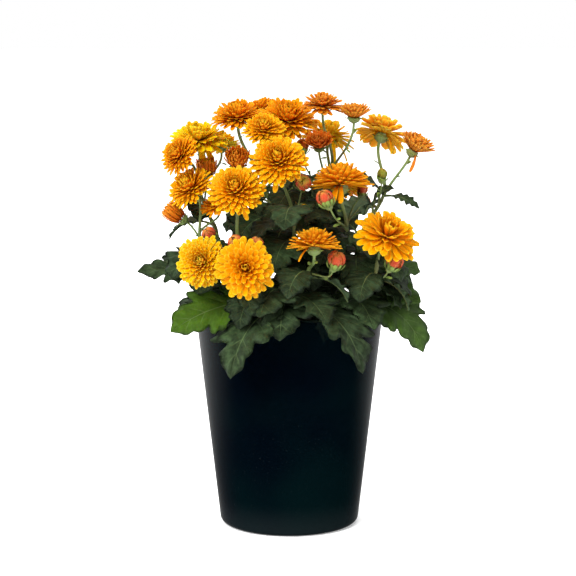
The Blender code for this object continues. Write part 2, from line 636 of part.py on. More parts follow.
def bloom(row):
    """Head of layered petals drawn out of a small core, one closed body with a flat base."""
    radius, openness = row[8:10]
    sides = next(count for least, count in CORE_SIDES if radius >= least)
    core = max(radius * CORE_SHARE, CORE_LEAST)
    points = []
    for out, up, shift in CORE_RINGS:
        for i in range(sides):
            a = math.tau * (i + shift) / sides
            points.append(Vector((core * out * math.cos(a), core * out * math.sin(a), core * up)))
    faces = [list(reversed(range(sides)))]
    layers = petal_layers(radius, openness)
    for ring in range(2):
        for i in range(sides):
            j = (i + 1) % sides
            low, high = ring * sides, (ring + 1) * sides
            # Ring 0 stands half a step behind ring 1, and ring 2 is in line with ring 0
            if ring == 0:
                outer, inner = (low + i, low + j, high + i), (high + i, low + j, high + j)
            else:
                outer, inner = (low + i, low + j, high + j), (low + i, high + j, high + i)
            faces += petal(points, outer, layers[2 * ring])
            faces += petal(points, inner, layers[2 * ring + 1])
    top = 2 * sides
    crown = len(points)
    points.append(Vector((0, 0, core * CORE_RINGS[2][1] + radius * CROWN_SHARE)))
    for i in range(sides):
        faces.append((top + i, top + (i + 1) % sides, crown))
    return seated(row, points, faces)


def seated(row, points, faces):
    """Head object, turned from +Z to the way it faces and put on its seat."""
    seat, facing = head_seat(row)
    turn = Vector((0, 0, 1)).rotation_difference(facing)
    return mesh_object(row[0], [seat + turn @ p for p in points], faces, row[10])


def petal(points, corners, layer):
    """Faces of one petal drawn out of a core triangle; its points are added to the list."""
    lift, reach, wide = layer
    ground = [points[c] for c in corners]
    middle = (ground[0] + ground[1] + ground[2]) / 3
    flat = Vector((middle.x, middle.y, 0)).normalized()
    across = Vector((-flat.y, flat.x, 0))
    e = math.radians(lift)
    ahead = flat * math.cos(e) + Vector((0, 0, math.sin(e)))
    upper = ahead.cross(across)
    length = reach - flat.dot(middle) * math.cos(e)
    hub = middle + ahead * length * PETAL_WIDEST
    first = len(points)
    order = sorted(range(3), key=lambda k: across.dot(ground[k] - middle))
    for k in range(3):
        if k == order[0]:
            points.append(hub - across * wide)
        elif k == order[2]:
            points.append(hub + across * wide)
        else:
            hand = 1 if ground[k].z > middle.z else -1
            points.append(hub + upper * hand * PETAL_DEPTH)
    points.append(middle + ahead * length + upper * length * PETAL_CURL)
    tip = first + 3
    faces = []
    for k in range(3):
        m = (k + 1) % 3
        faces.append((corners[k], corners[m], first + m, first + k))
        faces.append((first + k, first + m, tip))
    return faces


def bud(row):
    """Tight bud, a ball with a ridge for each of its closed petals and a flat base."""
    radius = row[8]
    sides = 2 * BUD_RIDGES
    points = []
    for k, (out, up) in enumerate(BUD_RINGS):
        for i in range(sides):
            a = math.tau * (i + 0.5 * k) / sides
            grooved = k > 0 and (i + k // 2) % 2 == 0
            r = radius * out * (BUD_GROOVE if grooved else 1.0)
            points.append(Vector((r * math.cos(a), r * math.sin(a), radius * up)))
    points.append(Vector((0, 0, radius * BUD_TIP)))
    faces = [list(reversed(range(sides)))]
    for k in range(len(BUD_RINGS) - 1):
        low = k * sides
        for i in range(sides):
            j = (i + 1) % sides
            faces.append((low + i, low + j, low + sides + i))
            faces.append((low + j, low + sides + j, low + sides + i))
    low = (len(BUD_RINGS) - 1) * sides
    for i in range(sides):
        faces.append((low + i, low + (i + 1) % sides, len(points) - 1))
    return seated(row, points, faces)


def flower_heads():
    """Every bloom, half-open head and bud, each on its own seat."""
    return [bud(row) if row[9] == 0.0 else bloom(row) for row in HEADS]


def build():
    """The whole plant in its pot."""
    for old in list(bpy.data.objects):
        bpy.data.objects.remove(old)
    holder = [pot(), soil()]
    heads = flower_heads()
    leafy_stems(shoot_paths(), heads, holder)


build()
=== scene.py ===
"""Pot chrysanthemum: the finished pot, soil, stems, leaves and full flower heads, and their studio.

The tables and sizes at the top are in millimetres and degrees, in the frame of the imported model. Settings,
materials and the stage are in metres, and MM turns one into the other.
"""
import itertools
import json
import math
from collections import namedtuple

import bmesh
import bpy
import numpy as np
from bpy.props import FloatProperty, FloatVectorProperty, IntProperty, PointerProperty
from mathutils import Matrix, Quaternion, Vector
from mathutils.kdtree import KDTree

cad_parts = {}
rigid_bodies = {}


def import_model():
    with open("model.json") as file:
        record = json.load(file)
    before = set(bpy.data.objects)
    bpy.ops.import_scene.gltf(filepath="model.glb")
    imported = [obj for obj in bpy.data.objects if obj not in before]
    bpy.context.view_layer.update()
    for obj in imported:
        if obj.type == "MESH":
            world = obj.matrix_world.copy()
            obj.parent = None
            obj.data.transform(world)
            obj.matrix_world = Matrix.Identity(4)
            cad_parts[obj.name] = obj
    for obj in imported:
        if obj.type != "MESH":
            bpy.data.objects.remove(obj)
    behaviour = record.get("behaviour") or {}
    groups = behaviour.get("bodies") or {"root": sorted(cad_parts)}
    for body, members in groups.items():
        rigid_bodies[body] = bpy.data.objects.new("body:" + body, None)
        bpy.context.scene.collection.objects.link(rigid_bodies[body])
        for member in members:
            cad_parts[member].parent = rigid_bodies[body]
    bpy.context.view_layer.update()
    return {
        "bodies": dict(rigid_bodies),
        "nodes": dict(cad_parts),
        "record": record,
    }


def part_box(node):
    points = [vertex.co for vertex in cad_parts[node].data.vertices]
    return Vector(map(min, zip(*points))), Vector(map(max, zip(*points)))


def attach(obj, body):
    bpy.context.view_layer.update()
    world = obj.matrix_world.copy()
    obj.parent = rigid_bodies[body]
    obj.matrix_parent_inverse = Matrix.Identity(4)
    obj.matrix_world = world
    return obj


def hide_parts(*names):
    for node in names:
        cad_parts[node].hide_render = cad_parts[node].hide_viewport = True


bl_info = {
    "name": "Pot Chrysanthemum",
    "version": (1, 0, 0),
    "blender": (4, 5, 0),
    "location": "View3D > Sidebar > Chrysanthemum",
    "description": "Dresses the solids of a pot chrysanthemum and lights them",
    "category": "Object",
}

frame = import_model()

MM = 0.001
BODY = next(iter(frame["bodies"]))
PLANTS = ("middle", "left", "right", "front", "back")

# Pot and soil, as large as their solids. The pot stands on a ring round a slight hollow, and its sides have
# so many rings outside and inside. The soil is rough, except for its lowest part at the pot
POT_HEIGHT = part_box("pot")[1].z / MM
POT_RIM_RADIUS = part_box("pot")[1].x / MM
POT_BASE_RADIUS = 58.5
POT_WALL = 4.0
POT_FLOOR = 5.0
POT_FOOT_FILLET = 5.0
POT_LEAN = (POT_RIM_RADIUS - POT_BASE_RADIUS) / POT_HEIGHT
POT_HOLLOW = 0.6
POT_RING = 11.0
POT_RING_SLOPE = 1.0
POT_RINGS = (14, 10)
SOIL_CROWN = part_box("soil")[1].z / MM
SOIL_EDGE_DROP = 9.0
SOIL_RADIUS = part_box("soil")[1].x / MM
SOIL_ROOT = 5.3
SOIL_ROUGH = (-0.9, 0.5)
SOIL_EVEN = 0.5
SOIL_SIDES = 96
SOIL_RINGS = 30

# The floor reaches this far to each side and lies this far under the pot
FLOOR_REACH = 6000.0
FLOOR_GAP = 0.2

# Lamps, in metres: name, kind, power, place, the point it looks at, and how wide it is
LAMPS = (
    ("sun", "SUN", 2.9, (-0.45, -0.75, 1.0), (0, 0, 0), {"angle": math.radians(30)}),
    ("key", "AREA", 34, (-1.2, -2.2, 1.5), (0, 0, 0.28), {"size": 1.0}),
    ("fill", "AREA", 12, (1.8, -1.6, 1.0), (0, 0, 0.25), {"size": 1.0}),
    ("table", "AREA", 30, (0, 1.3, 1.2), (0, 0.7, 0), {"size": 1.6}),
)

# Growth rules of the stems, shared with the solids
STEM_FREE_FROM = 178.0
STEM_ROOT = 141.0
SHOOT_EASE = 0.3
STALK_EASE = 0.33
CALYX_DEPTH = 5.0
OPEN_FROM = 0.6
OPEN_SEAT_SHARE = 0.3
SHUT_SEAT_SHARE = 0.95

# A side shoot swells where it leaves its parent, and so does a stalk, which is thicker under a large head.
# The cup under a head is given as shares of its height and of its radius. In an open head it goes on into
# the heart, and the petals start this share of the radius up
SHOOT_SWELL = 1.25
STALK_SWELL = 1.35
STALK_SLIM = 0.35
STALK_PER_HEAD = 0.042
CUP = ((0.10, 0.42), (0.30, 0.78), (0.55, 0.96), (0.80, 1.0), (0.96, 0.96))
CUP_OF_BUD = 3.3
CUP_OF_BLOOM = 4.0
CUP_PER_HEAD = 0.07
CUP_HEART = 0.24
OPEN_RAISE = 0.10

# How old the green parts look, from 0 to 1, at their foot and at their end, and a cup all over
STEM_AGE = (1.0, 0.7)
SHOOT_AGE = (0.7, 0.3)
STALK_AGE = (0.35, 0.0)
CUP_AGE = 0.1
PETIOLE_AGE = (0.45, 0.25)

# Stalks of the leaves and the midribs that go on from them: radius at the foot and loss along the leaf, how
# deep a midrib lies under its blade, and where it ends
PETIOLE = (1.25, 1.5)
MIDRIB = (0.85, 0.68)
MIDRIB_DEPTH = 0.35
MIDRIB_END = 0.985
PATH_POINTS = 15

# A shoot leaves its parent at a share of its length and ends at the point given.
# Rows: shoot, plant, parent, share, x, y, z, thickness at the foot and at the end
SHOOTS = (
    ("middle", "middle", None, (0, 4), 1, 6, 262, 3.2, 2.3),
    ("middle_a", "middle", "middle", 0.62, -24, -12, 306, 1.8, 1.4),
    ("middle_b", "middle", "middle", 0.97, 36, 8, 306, 1.8, 1.4),
    ("middle_c", "middle", "middle", 0.40, 4, -48, 266, 1.8, 1.4),
    ("left", "left", None, (-37, -2), -60, -12, 246, 3.1, 2.3),
    ("left_a", "left", "left", 0.97, -74, -10, 286, 1.8, 1.4),
    ("left_b", "left", "left", 0.62, -74, -42, 254, 1.8, 1.4),
    ("left_c", "left", "left", 0.42, -62, 34, 244, 1.8, 1.4),
    ("right", "right", None, (37, -2), 60, -8, 246, 3.1, 2.3),
    ("right_a", "right", "right", 0.97, 80, 0, 286, 1.8, 1.4),
    ("right_b", "right", "right", 0.34, 72, -46, 226, 1.8, 1.4),
    ("right_c", "right", "right", 0.46, 68, 36, 226, 1.8, 1.4),
    ("right_d", "right", "right", 0.74, 47, -40, 262, 1.7, 1.3),
    ("front", "front", None, (1, -37), -6, -56, 216, 3.0, 2.3),
    ("front_a", "front", "front", 0.97, -42, -70, 256, 1.8, 1.4),
    ("front_b", "front", "front", 0.60, -42, -78, 218, 1.8, 1.4),
    ("front_c", "front", "front", 0.70, 16, -70, 230, 1.8, 1.4),
    ("back", "back", None, (0, 38), 2, 56, 236, 3.1, 2.3),
    ("back_a", "back", "back", 0.80, -24, 56, 270, 1.8, 1.4),
    ("back_b", "back", "back", 0.97, 34, 56, 262, 1.8, 1.4),
    ("back_c", "back", "back", 0.44, 2, 82, 232, 1.8, 1.4),
)
PLANT_OF = {row[0]: row[1] for row in SHOOTS}

# A head's stalk leaves its shoot at a share of its length. The place is the head's middle, azimuth and
# elevation are the way it faces, and its openness goes from 0 for a bud to 1
Head = namedtuple("Head", "name shoot share x y z azimuth elevation radius openness form colouring")
HEADS = [Head(*row) for row in (
    ("bloom_top_left", "middle_a", 0.82, -43, -15, 350, -100, 78, 22, 1.0, "flat", "amber"),
    ("bloom_top_back", "middle_a", 0.90, -23, 38, 349, 115, 62, 16, 0.9, "open", "amber"),
    ("bloom_top_middle", "middle_a", 0.98, -1, 6, 346, -82, 66, 25.5, 1.0, "flat", "amber"),
    ("bloom_top_front", "middle_a", 0.75, -21, -48, 342, -90, 58, 17, 1.0, "open", "gold"),
    ("bloom_half_red", "middle_a", 0.55, -43, -40, 320, -95, 55, 13.5, 0.35, "half", "rust"),
    ("bloom_top_right", "middle_b", 0.97, 28, -12, 359, -80, 80, 17, 1.0, "broad", "dusk"),
    ("bloom_cup_right", "middle_b", 0.85, 54, -22, 361, -60, 86, 14, 0.55, "cup", "dusk"),
    ("bloom_yellow_behind", "middle_b", 0.75, 34, 32, 329, 60, 74, 21, 1.0, "loose", "yellow"),
    ("bloom_half_front", "middle_b", 0.60, 24, -22, 334, -95, 62, 13, 0.35, "cup", "ember"),
    ("bloom_front_big", "middle_c", 0.95, -9, -72, 319, -92, 44, 23, 1.0, "open", "gold"),
    ("bloom_left_high", "left_a", 0.97, -76, -16, 331, -110, 74, 23, 1.0, "ruffled", "yellow"),
    ("bloom_left_inner", "left_a", 0.85, -58, 26, 322, 100, 66, 15, 0.9, "broad", "yellow"),
    ("bloom_left_face", "left_a", 0.75, -91, -46, 320, -140, 30, 17.5, 1.0, "open", "amber"),
    ("bloom_left_brush", "left_a", 0.60, -69, -22, 311, -120, 84, 10.5, 0.3, "brush", "rust"),
    ("bloom_left_side", "left_b", 0.85, -82, -50, 294, -142, 46, 19.5, 1.0, "open", "gold"),
    ("bloom_left_tuck", "left_b", 0.97, -60, -50, 280, -125, 62, 12.5, 0.8, "broad", "amber"),
    ("bloom_left_cone", "left_b", 0.60, -98, -36, 272, 184, 36, 12.5, 0.25, "egg", "rust"),
    ("bloom_left_behind", "left_c", 0.97, -84, 42, 278, 150, 50, 19.5, 1.0, "open", "gold"),
    ("bloom_right_high", "right_a", 0.97, 79, 8, 334, 55, 56, 21.5, 1.0, "loose", "honey"),
    ("bloom_right_far", "right_a", 0.80, 105, -8, 322, -15, 62, 16.5, 0.7, "cup", "dusk"),
    ("bloom_right_big", "right_b", 0.97, 80, -74, 259, -62, 52, 25, 1.0, "ruffled", "gold"),
    ("bloom_right_flat", "right_d", 0.97, 42, -56, 300, 95, 76, 25, 1.0, "open", "amber"),
    ("bloom_right_behind", "right_c", 0.97, 86, 52, 244, 40, 40, 19.5, 1.0, "open", "gold"),
    ("bloom_low_left", "front_b", 0.97, -71, -88, 238, -104, 16, 21, 1.0, "open", "honey"),
    ("bloom_low_middle", "front_b", 0.80, -35, -110, 236, -88, 12, 22, 1.0, "broad", "gold"),
    ("bloom_left_big", "front_a", 0.97, -43, -86, 297, -97, 44, 22.5, 1.0, "open", "gold"),
    ("bloom_middle_side", "front_c", 0.90, 20, -92, 254, 90, 78, 20.5, 1.0, "open", "amber"),
    ("bloom_behind_a", "back_a", 0.97, -10, 58, 306, 95, 58, 21.5, 1.0, "open", "gold"),
    ("bloom_behind_b", "back_a", 0.80, -46, 66, 280, 120, 46, 20.5, 1.0, "open", "honey"),
    ("bloom_behind_c", "back_b", 0.97, 45, 62, 285, 70, 52, 21.5, 1.0, "open", "gold"),
    ("bloom_behind_d", "back_c", 0.97, -26, 102, 242, 105, 30, 20.5, 1.0, "broad", "gold"),
    ("bloom_behind_e", "back_c", 0.80, 22, 104, 250, 75, 32, 20.5, 1.0, "broad", "yellow"),
    ("bud_top_dark", "middle_b", 0.50, 11, 12, 322, 100, 84, 6, 0.0, "bud", "ember"),
    ("bud_front_face", "middle_c", 0.85, 11, -64, 299, -88, 24, 7.7, 0.0, "bud", "blush"),
    ("bud_front_right", "right_d", 0.80, 28, -80, 289, 165, 62, 7.7, 0.0, "bud", "coral"),
    ("bud_right_small", "right_d", 0.90, 60, -40, 291, -60, 86, 5, 0.0, "bud", "coral"),
    ("bud_right_green", "right_a", 0.45, 77, -25, 302, -75, 76, 5, 0.0, "bud", "lime"),
    ("bud_right_low", "right_b", 0.70, 86, -64, 235, -15, 60, 7.7, 0.0, "bud", "coral"),
    ("bud_middle_low", "front_c", 0.75, 38, -88, 240, -25, 72, 7.7, 0.0, "bud", "coral"),
    ("bud_left_low", "front_a", 0.60, -66, -68, 258, -135, 50, 6.2, 0.0, "bud", "coral"),
    ("bud_left_middle", "front_a", 0.72, -44, -90, 254, -110, 40, 7.0, 0.0, "bud", "coral"),
    ("bud_middle", "front_a", 0.45, -26, -84, 253, -70, 55, 6.0, 0.0, "bud", "coral"),
    ("bud_behind_right", "back_b", 0.70, 64, 44, 270, 20, 66, 7.0, 0.0, "bud", "coral"),
)]

# Leaves set one by one. Rows: shoot, share, azimuth, elevation at the foot and at the tip, length, width,
# roll, and how young and bright the leaf is, from 0 to 1
SET_LEAVES = (
    ("left", 0.46, 186, 18, -6, 82, 34, -50, 0.3),
    ("left", 0.10, 215, 30, -64, 70, 44, 0, 0.15),
    ("left", 0.16, 150, 28, -56, 72, 46, 0, 0.1),
    ("front", 0.22, -133, 26, -76, 110, 60, 12, 0.35),
    ("front", 0.32, -46, 26, -78, 110, 60, -12, 0.22),
    ("front", 0.50, -162, 12, -34, 104, 56, -50, 0.95),
    ("right", 0.10, -26, 32, -74, 102, 56, 24, 0.78),
    ("front", 0.60, -58, 26, -46, 70, 46, 0, 0.12),
    ("right", 0.24, 0, 24, -28, 74, 44, 42, 0.82),
    ("right", 0.56, 4, 20, -22, 62, 38, 45, 0.7),
    ("right", 0.18, -66, 34, -52, 84, 48, 0, 0.4),
    ("right", 0.14, 38, 26, -60, 92, 52, 0, 0.1),
    ("back", 0.10, 60, 28, -66, 94, 54, 0, 0.2),
    ("back", 0.22, 95, 26, -64, 96, 54, 0, 0.4),
    ("back", 0.12, 130, 28, -66, 94, 54, 0, 0.1),
    ("right_a", 0.50, -14, 84, -24, 34, 17, 50, 0.15),
)

# Leaves that the solids leave out, deep among the others, in the same rows
DEEP_LEAVES = (
    ("front", 0.34, -96, 40, -66, 78, 54, 0, 0.1),
    ("middle", 0.66, -20, 24, -60, 70, 50, 0, 0.0),
    ("right", 0.86, 150, 30, -40, 50, 42, 0, 0.0),
    ("middle", 0.34, -8, 16, -40, 76, 48, 0, 0.0),
    ("left", 0.40, -40, 20, -50, 66, 46, 0, 0.1),
    ("left", 0.36, 245, 24, -50, 50, 40, 0, 0.0),
    ("right", 0.93, 165, 40, -30, 48, 42, 0, 0.1),
    ("right", 0.72, 178, 30, -50, 52, 44, 0, 0.0),
    ("right_d", 0.88, -60, 80, 20, 42, 36, 0, 0.15),
    ("right_d", 0.80, 200, 60, -30, 44, 40, -20, 0.1),
    ("right_a", 0.90, 190, 50, 0, 36, 28, -30, 0.1),
    ("right_a", 0.85, -16, 10, -44, 34, 14, 40, 0.3),
    ("right_c", 0.80, 190, 40, 10, 52, 46, -40, 0.0),
    ("right_c", 0.90, 196, 44, 10, 58, 50, -50, 0.0),
    ("right", 0.98, 160, 58, 10, 42, 42, -30, 0.0),
    ("middle", 0.52, -14, 34, -20, 70, 56, 0, 0.0),
    ("middle_c", 1.00, -100, 60, -66, 58, 46, 0, 0.2),
    ("right_c", 0.30, 200, 10, -20, 50, 44, -40, 0.0),
)

# Leaves up each shoot follow the golden angle, drawn in towards the side that the shoot faces.
# Rows: shoot, azimuth it faces, spread to each side, shares, length of the lowest and of the highest leaf
LEAF_RUNS = (
    ("middle", -90, 180, (0.30, 0.44, 0.58, 0.72, 0.86), 72, 64),
    ("middle_a", -110, 70, (0.10, 0.24, 0.38, 0.52, 0.66), 62, 46),
    ("middle_a", 100, 60, (0.30, 0.56), 58, 48),
    ("middle_b", -80, 80, (0.08, 0.22, 0.36, 0.50, 0.64), 60, 44),
    ("middle_b", 70, 60, (0.30, 0.58), 56, 46),
    ("middle_c", -90, 110, (0.30, 0.46, 0.62, 0.80, 0.94), 62, 48),
    ("left", 210, 110, (0.50, 0.70), 64, 60),
    ("left_a", 170, 120, (0.30, 0.66), 46, 34),
    ("left_b", 220, 110, (0.45, 0.80), 52, 38),
    ("left_c", 150, 110, (0.40, 0.75), 58, 46),
    ("right", -40, 110, (0.42, 0.58, 0.74), 68, 60),
    ("right_a", 0, 140, (0.25, 0.60), 50, 38),
    ("right_b", -60, 110, (0.36, 0.60, 0.84), 54, 46),
    ("right_c", 40, 110, (0.45, 0.80), 60, 50),
    ("right_d", -90, 90, (0.16, 0.34, 0.52, 0.70, 0.88), 60, 42),
    ("front", -90, 130, (0.66, 0.90), 66, 62),
    ("front_a", -80, 100, (0.24, 0.40, 0.56, 0.76), 56, 38),
    ("front_b", -120, 120, (0.50, 0.84), 46, 40),
    ("front_c", -70, 120, (0.35, 0.60, 0.85), 56, 44),
    ("back", 90, 150, (0.46, 0.66, 0.86), 66, 60),
    ("back_a", 120, 130, (0.35, 0.70), 56, 46),
    ("back_b", 60, 130, (0.35, 0.70), 56, 46),
    ("back_c", 90, 130, (0.45, 0.80), 58, 48),
)
GOLDEN_ANGLE = 137.5

# Between two heights, the leaves of these runs rise more at the foot and hang less at the tip the higher they
# grow. Width goes by length, the roll is to either side, the youngest is this bright, and the blade is this
# much wider than its solid
RUN_LOW = 200.0
RUN_HIGH = 290.0
RUN_RISE = (20, 34)
RUN_FALL = (-78, -62)
RUN_WIDTH = 0.74
RUN_ROLL = 22
RUN_YOUTH = 0.5
RUN_SPREAD = 1.12

# Each half of a blade rises from the midrib by this share of its width, and this share of a leaf is its stalk
LEAF_FOLD = 0.1
PETIOLE_SHARE = 0.2

# Every leaf is in the solids as planned here, or turned, lifted or shortened to clear its neighbours
LEAF_TURNS = (0, 10, -10, 20, -20, 32, -32, 46, -46)
LEAF_LIFTS = (0, 10, -10, 20)
LEAF_SCALES = (1.0, 0.85, 0.72)

# The widest lobe of a long and of a short leaf in the solids, as shares of its blade and of its half width.
# A leaf is found again where corners of its solid lie this near
BROAD_FROM_LENGTH = 64.0
BROAD_LOBE = (0.53, 1.00)
SMALL_LOBE = (0.44, 0.98)
MATCH_WITHIN = 0.06

# Outline of half a blade from its base to its tip: share of the length, share of the half width,
# and the share of the length where its vein leaves the midrib
LEAF_EDGE = (
    (0.00, 0.06, 0.00), (0.06, 0.20, 0.02), (0.12, 0.48, 0.04), (0.17, 0.68, 0.06), (0.225, 0.79, 0.07),
    (0.27, 0.78, 0.085), (0.325, 0.88, 0.10), (0.36, 0.81, 0.12), (0.365, 0.66, 0.16), (0.35, 0.52, 0.20),
    (0.405, 0.66, 0.24), (0.45, 0.82, 0.27), (0.48, 0.85, 0.29), (0.51, 0.97, 0.305), (0.56, 0.98, 0.32),
    (0.59, 0.92, 0.33), (0.645, 1.00, 0.345), (0.675, 0.86, 0.37), (0.665, 0.68, 0.42), (0.65, 0.51, 0.47),
    (0.70, 0.54, 0.52), (0.745, 0.60, 0.56), (0.79, 0.58, 0.60), (0.815, 0.47, 0.65), (0.87, 0.43, 0.70),
    (0.91, 0.33, 0.76), (0.93, 0.23, 0.82), (0.968, 0.12, 0.90), (1.00, 0.00, 0.97),
)
VEIN_ROWS = (6, 16, 22, 25)

# Blades differ a little: lobes are wider or narrower by a share, in slow waves from foot to tip, one half is
# wider than the other, and the edge ripples in quicker waves
LOBE_SWAY = 0.05
LOBE_WAVES = 19
HAND_BIAS = 0.04
EDGE_WAVES = 31

# A blade dips at its veins, over this share of its length, and along its midrib, and thins towards its edge.
# Its ripples fade where a half is narrower than FLAT_BELOW, and no half is narrower than LEAST_HALF
VEIN_VALLEY = 0.03
RIB_SINK = 0.25
EDGE_THINNING = 0.7
FLAT_BELOW = 8
LEAST_HALF = 0.9

# Leaves shorter than BROAD_FROM_LENGTH are plainer. At this length and below, their outline has come this
# share of the way to a spear's
PLAIN_LENGTH = 40.0
PLAIN_SHARE = 0.75

Path = namedtuple("Path", "p0 p1 p2 p3 foot end")
Leaf = namedtuple("Leaf", "root azimuth rise fall length width roll youth spread")

# How a head's petals stand. Angles are in degrees above the head's own plane, and sizes are shares of
# its radius; a pair holds the outermost petal's and the innermost petal's
FORM_PAIRS = ("lift", "curl", "long", "wide")
FORM_SINGLES = ("foot", "dome", "hollow", "wrap", "scatter")
Form = namedtuple("Form", "count foot dome lift curl long wide hollow wrap scatter")
FORMS = {
    "open": Form(190, 0.20, 0.18, (1, 84), (-8, 44), (0.84, 0.50), (0.102, 0.060), 0.30, 0.0, 4),
    "flat": Form(180, 0.20, 0.12, (-2, 80), (-10, 36), (0.86, 0.48), (0.102, 0.060), 0.30, 0.0, 5),
    "broad": Form(110, 0.22, 0.14, (-4, 84), (-10, 44), (0.90, 0.42), (0.135, 0.062), 0.26, 0.0, 7),
    "loose": Form(72, 0.20, 0.16, (-4, 80), (-26, 34), (0.88, 0.50), (0.185, 0.095), 0.26, 0.0, 9),
    "ruffled": Form(100, 0.20, 0.14, (-6, 82), (-14, 42), (0.90, 0.46), (0.145, 0.078), 0.34, 0.0, 12),
    "cup": Form(112, 0.24, 0.08, (32, 80), (8, 24), (0.92, 0.68), (0.115, 0.070), 0.30, 0.1, 5),
    "half": Form(96, 0.34, 0.22, (36, 86), (52, 30), (1.00, 1.04), (0.120, 0.070), 0.26, 0.5, 3),
    "egg": Form(84, 0.36, 0.20, (58, 86), (46, 26), (1.30, 1.15), (0.095, 0.080), 0.55, 0.3, 4),
    "brush": Form(80, 0.72, 0.10, (80, 88), (4, 4), (1.14, 1.00), (0.140, 0.110), 0.26, 0.4, 2),
    "bud": Form(13, 0.28, 0.00, (12, 24), (158, 146), (2.30, 2.05), (0.62, 0.50), 0.04, 1.0, 3),
}

# Scales under an open head and under a full bud, in millimetres, the bracts on the longer stalks, and a petal
# that hangs or sticks out
SEPALS_OPEN = Form(17, 3.4, 0.4, (30, 50), (-14, -10), (4.8, 3.6), (1.3, 1.1), 0.30, 0.3, 7)
SEPALS_SHUT = Form(11, 2.2, 0.2, (6, 16), (84, 80), (9.6, 7.2), (2.5, 1.9), 0.20, 0.8, 4)
BRACT = Form(1, 0.08, 0.0, (52, 52), (-40, -40), (1.0, 1.0), (0.19, 0.19), 0.30, 0.0, 14)
STRAY = Form(1, 0.2, 0.0, None, (-36, -36), None, None, 0.3, 0.0, 3)
BRACT_LENGTH = 6.5
BRACT_FROM = 24.0
BRACT_SHARES = (0.5, 0.8)
SEPAL_DROP = 2.6
FULL_BUD = 7.7

# Petals rise slowly at first and then faster towards the heart, and the innermost are shorter. Each differs
# by chance in length, in width, in radians round the head, and in how far its tip leans to one side. Two
# ridges run along it, beside its middle, and it wraps round its head by so many radians at most
LIFT_EASE = 1.7
HEART_FROM = 0.9
HEART_LENGTH = 0.62
LENGTH_CHANCE = 0.12
WIDTH_CHANCE = 0.08
TURN_CHANCE = 0.10
LEAN_CHANCE = 0.06
RIDGES = 0.5
WRAP_MOST = 1.3

# Single petals that hang or stick out from a head. Rows: head, azimuth round it, lift, length and half
# width as shares of its radius
STRAYS = (
    ("bloom_left_high", -72, -52, 0.92, 0.15), ("bloom_left_high", -38, -46, 0.88, 0.15),
    ("bloom_yellow_behind", -52, -58, 1.10, 0.14), ("bloom_yellow_behind", -14, -34, 1.05, 0.13),
    ("bloom_right_far", -48, -58, 1.10, 0.13), ("bloom_right_flat", -118, -40, 0.80, 0.12),
    ("bloom_right_flat", -96, -58, 0.62, 0.10), ("bloom_right_high", 212, -30, 1.00, 0.15),
    ("bloom_right_high", 330, -40, 0.95, 0.15), ("bloom_middle_side", 208, -34, 0.70, 0.12),
    ("bloom_left_big", -70, -14, 0.92, 0.10), ("bloom_front_big", -100, -12, 0.94, 0.10),
)

# A petal's outline as share of its length and of its half width, and its points across
PETAL_OUTLINE = (
    (0.0, 0.38), (0.20, 0.56), (0.42, 0.82), (0.62, 0.99), (0.79, 1.0), (0.92, 0.82), (0.98, 0.48),
)
PETAL_ACROSS = (-1.0, -0.5, 0.0, 0.5, 1.0)
PETAL_THICKNESS = 0.28

# Colourings of the petals: heart, foot, body, edge, back, all of them deepened by one factor. Heart and foot
# are also painted shade deep in a head, between the petals' feet and along their grooves
PETAL_DEPTH = 0.88
COLOURINGS = {
    "gold": ("#963006", "#f07e06", "#ffa604", "#ffca2a", "#f49a10"),
    "honey": ("#c85c0c", "#f89a08", "#ffb800", "#ffd83c", "#f2aa34"),
    "amber": ("#863006", "#e27408", "#f89a06", "#ffb624", "#ee9010"),
    # The yellow back is painted lighter than the petals' own: painted light on undersides that lie in shade
    "yellow": ("#b86a08", "#e8a404", "#fcc600", "#ffdc34", "#f6c428"),
    "dusk": ("#7c300c", "#bc5a0c", "#e28414", "#f6ac3c", "#d07c2c"),
    "rust": ("#6c1e06", "#b04408", "#e87a0c", "#f29a2c", "#dc6a10"),
    "ember": ("#4a1204", "#8c2c08", "#d0600e", "#e08430", "#b44a14"),
    "coral": ("#a8341e", "#e2cc84", "#d8643c", "#e0a048", "#c83e28"),
    "blush": ("#8a9a24", "#dccf74", "#d8643c", "#c6c43c", "#cc4a30"),
    "lime": ("#6f7a1c", "#44581f", "#a8882c", "#b89838", "#66782a"),
}


def paint(code):
    """Linear colour of a hex code."""
    values = [int(code[k:k + 2], 16) / 255 for k in (1, 3, 5)]
    return (*[v / 12.92 if v <= 0.04045 else ((v + 0.055) / 1.055) ** 2.4 for v in values], 1.0)


def shade(value):
    """A colour as nodes take it, from a hex code or a setting. A number or a wire stays as it is."""
    if isinstance(value, str):
        return paint(value)
    return value if isinstance(value, (Wire, int, float)) else tuple(value)


def tint(name, description, default):
    """Colour setting."""
    return FloatVectorProperty(name=name, description=description, subtype="COLOR", size=4, default=default)


def metres(name, description, default):
    """Length setting."""
    return FloatProperty(name=name, description=description, unit="LENGTH", default=default, min=0)


class PotSettings(bpy.types.PropertyGroup):
    """Sizes and finish of the pot."""
    sides: IntProperty(name="Sides", description="Faces round the pot", default=144, min=24)
    colour: tint("Colour", "Glaze of the pot", paint("#01040a"))
    gloss: FloatProperty(
        name="Roughness", description="Roughness of the glaze", subtype="FACTOR", default=0.05, min=0, max=1)


class SoilSettings(bpy.types.PropertyGroup):
    """Sizes and finish of the soil."""
    crumbs: IntProperty(name="Crumbs", description="Crumbs per square metre", default=70000, min=0)
    crumb: metres("Crumb", "Radius of a crumb", 0.0016)
    colour: tint("Colour", "Moist compost", paint("#33241a"))


class StemSettings(bpy.types.PropertyGroup):
    """Sizes and finish of the green stems."""
    sides: IntProperty(name="Sides", description="Faces round a stem", default=10, min=4)
    young: tint("Young", "Stalks under the heads", paint("#748a4c"))
    old: tint("Old", "Stems near the soil", paint("#46562f"))


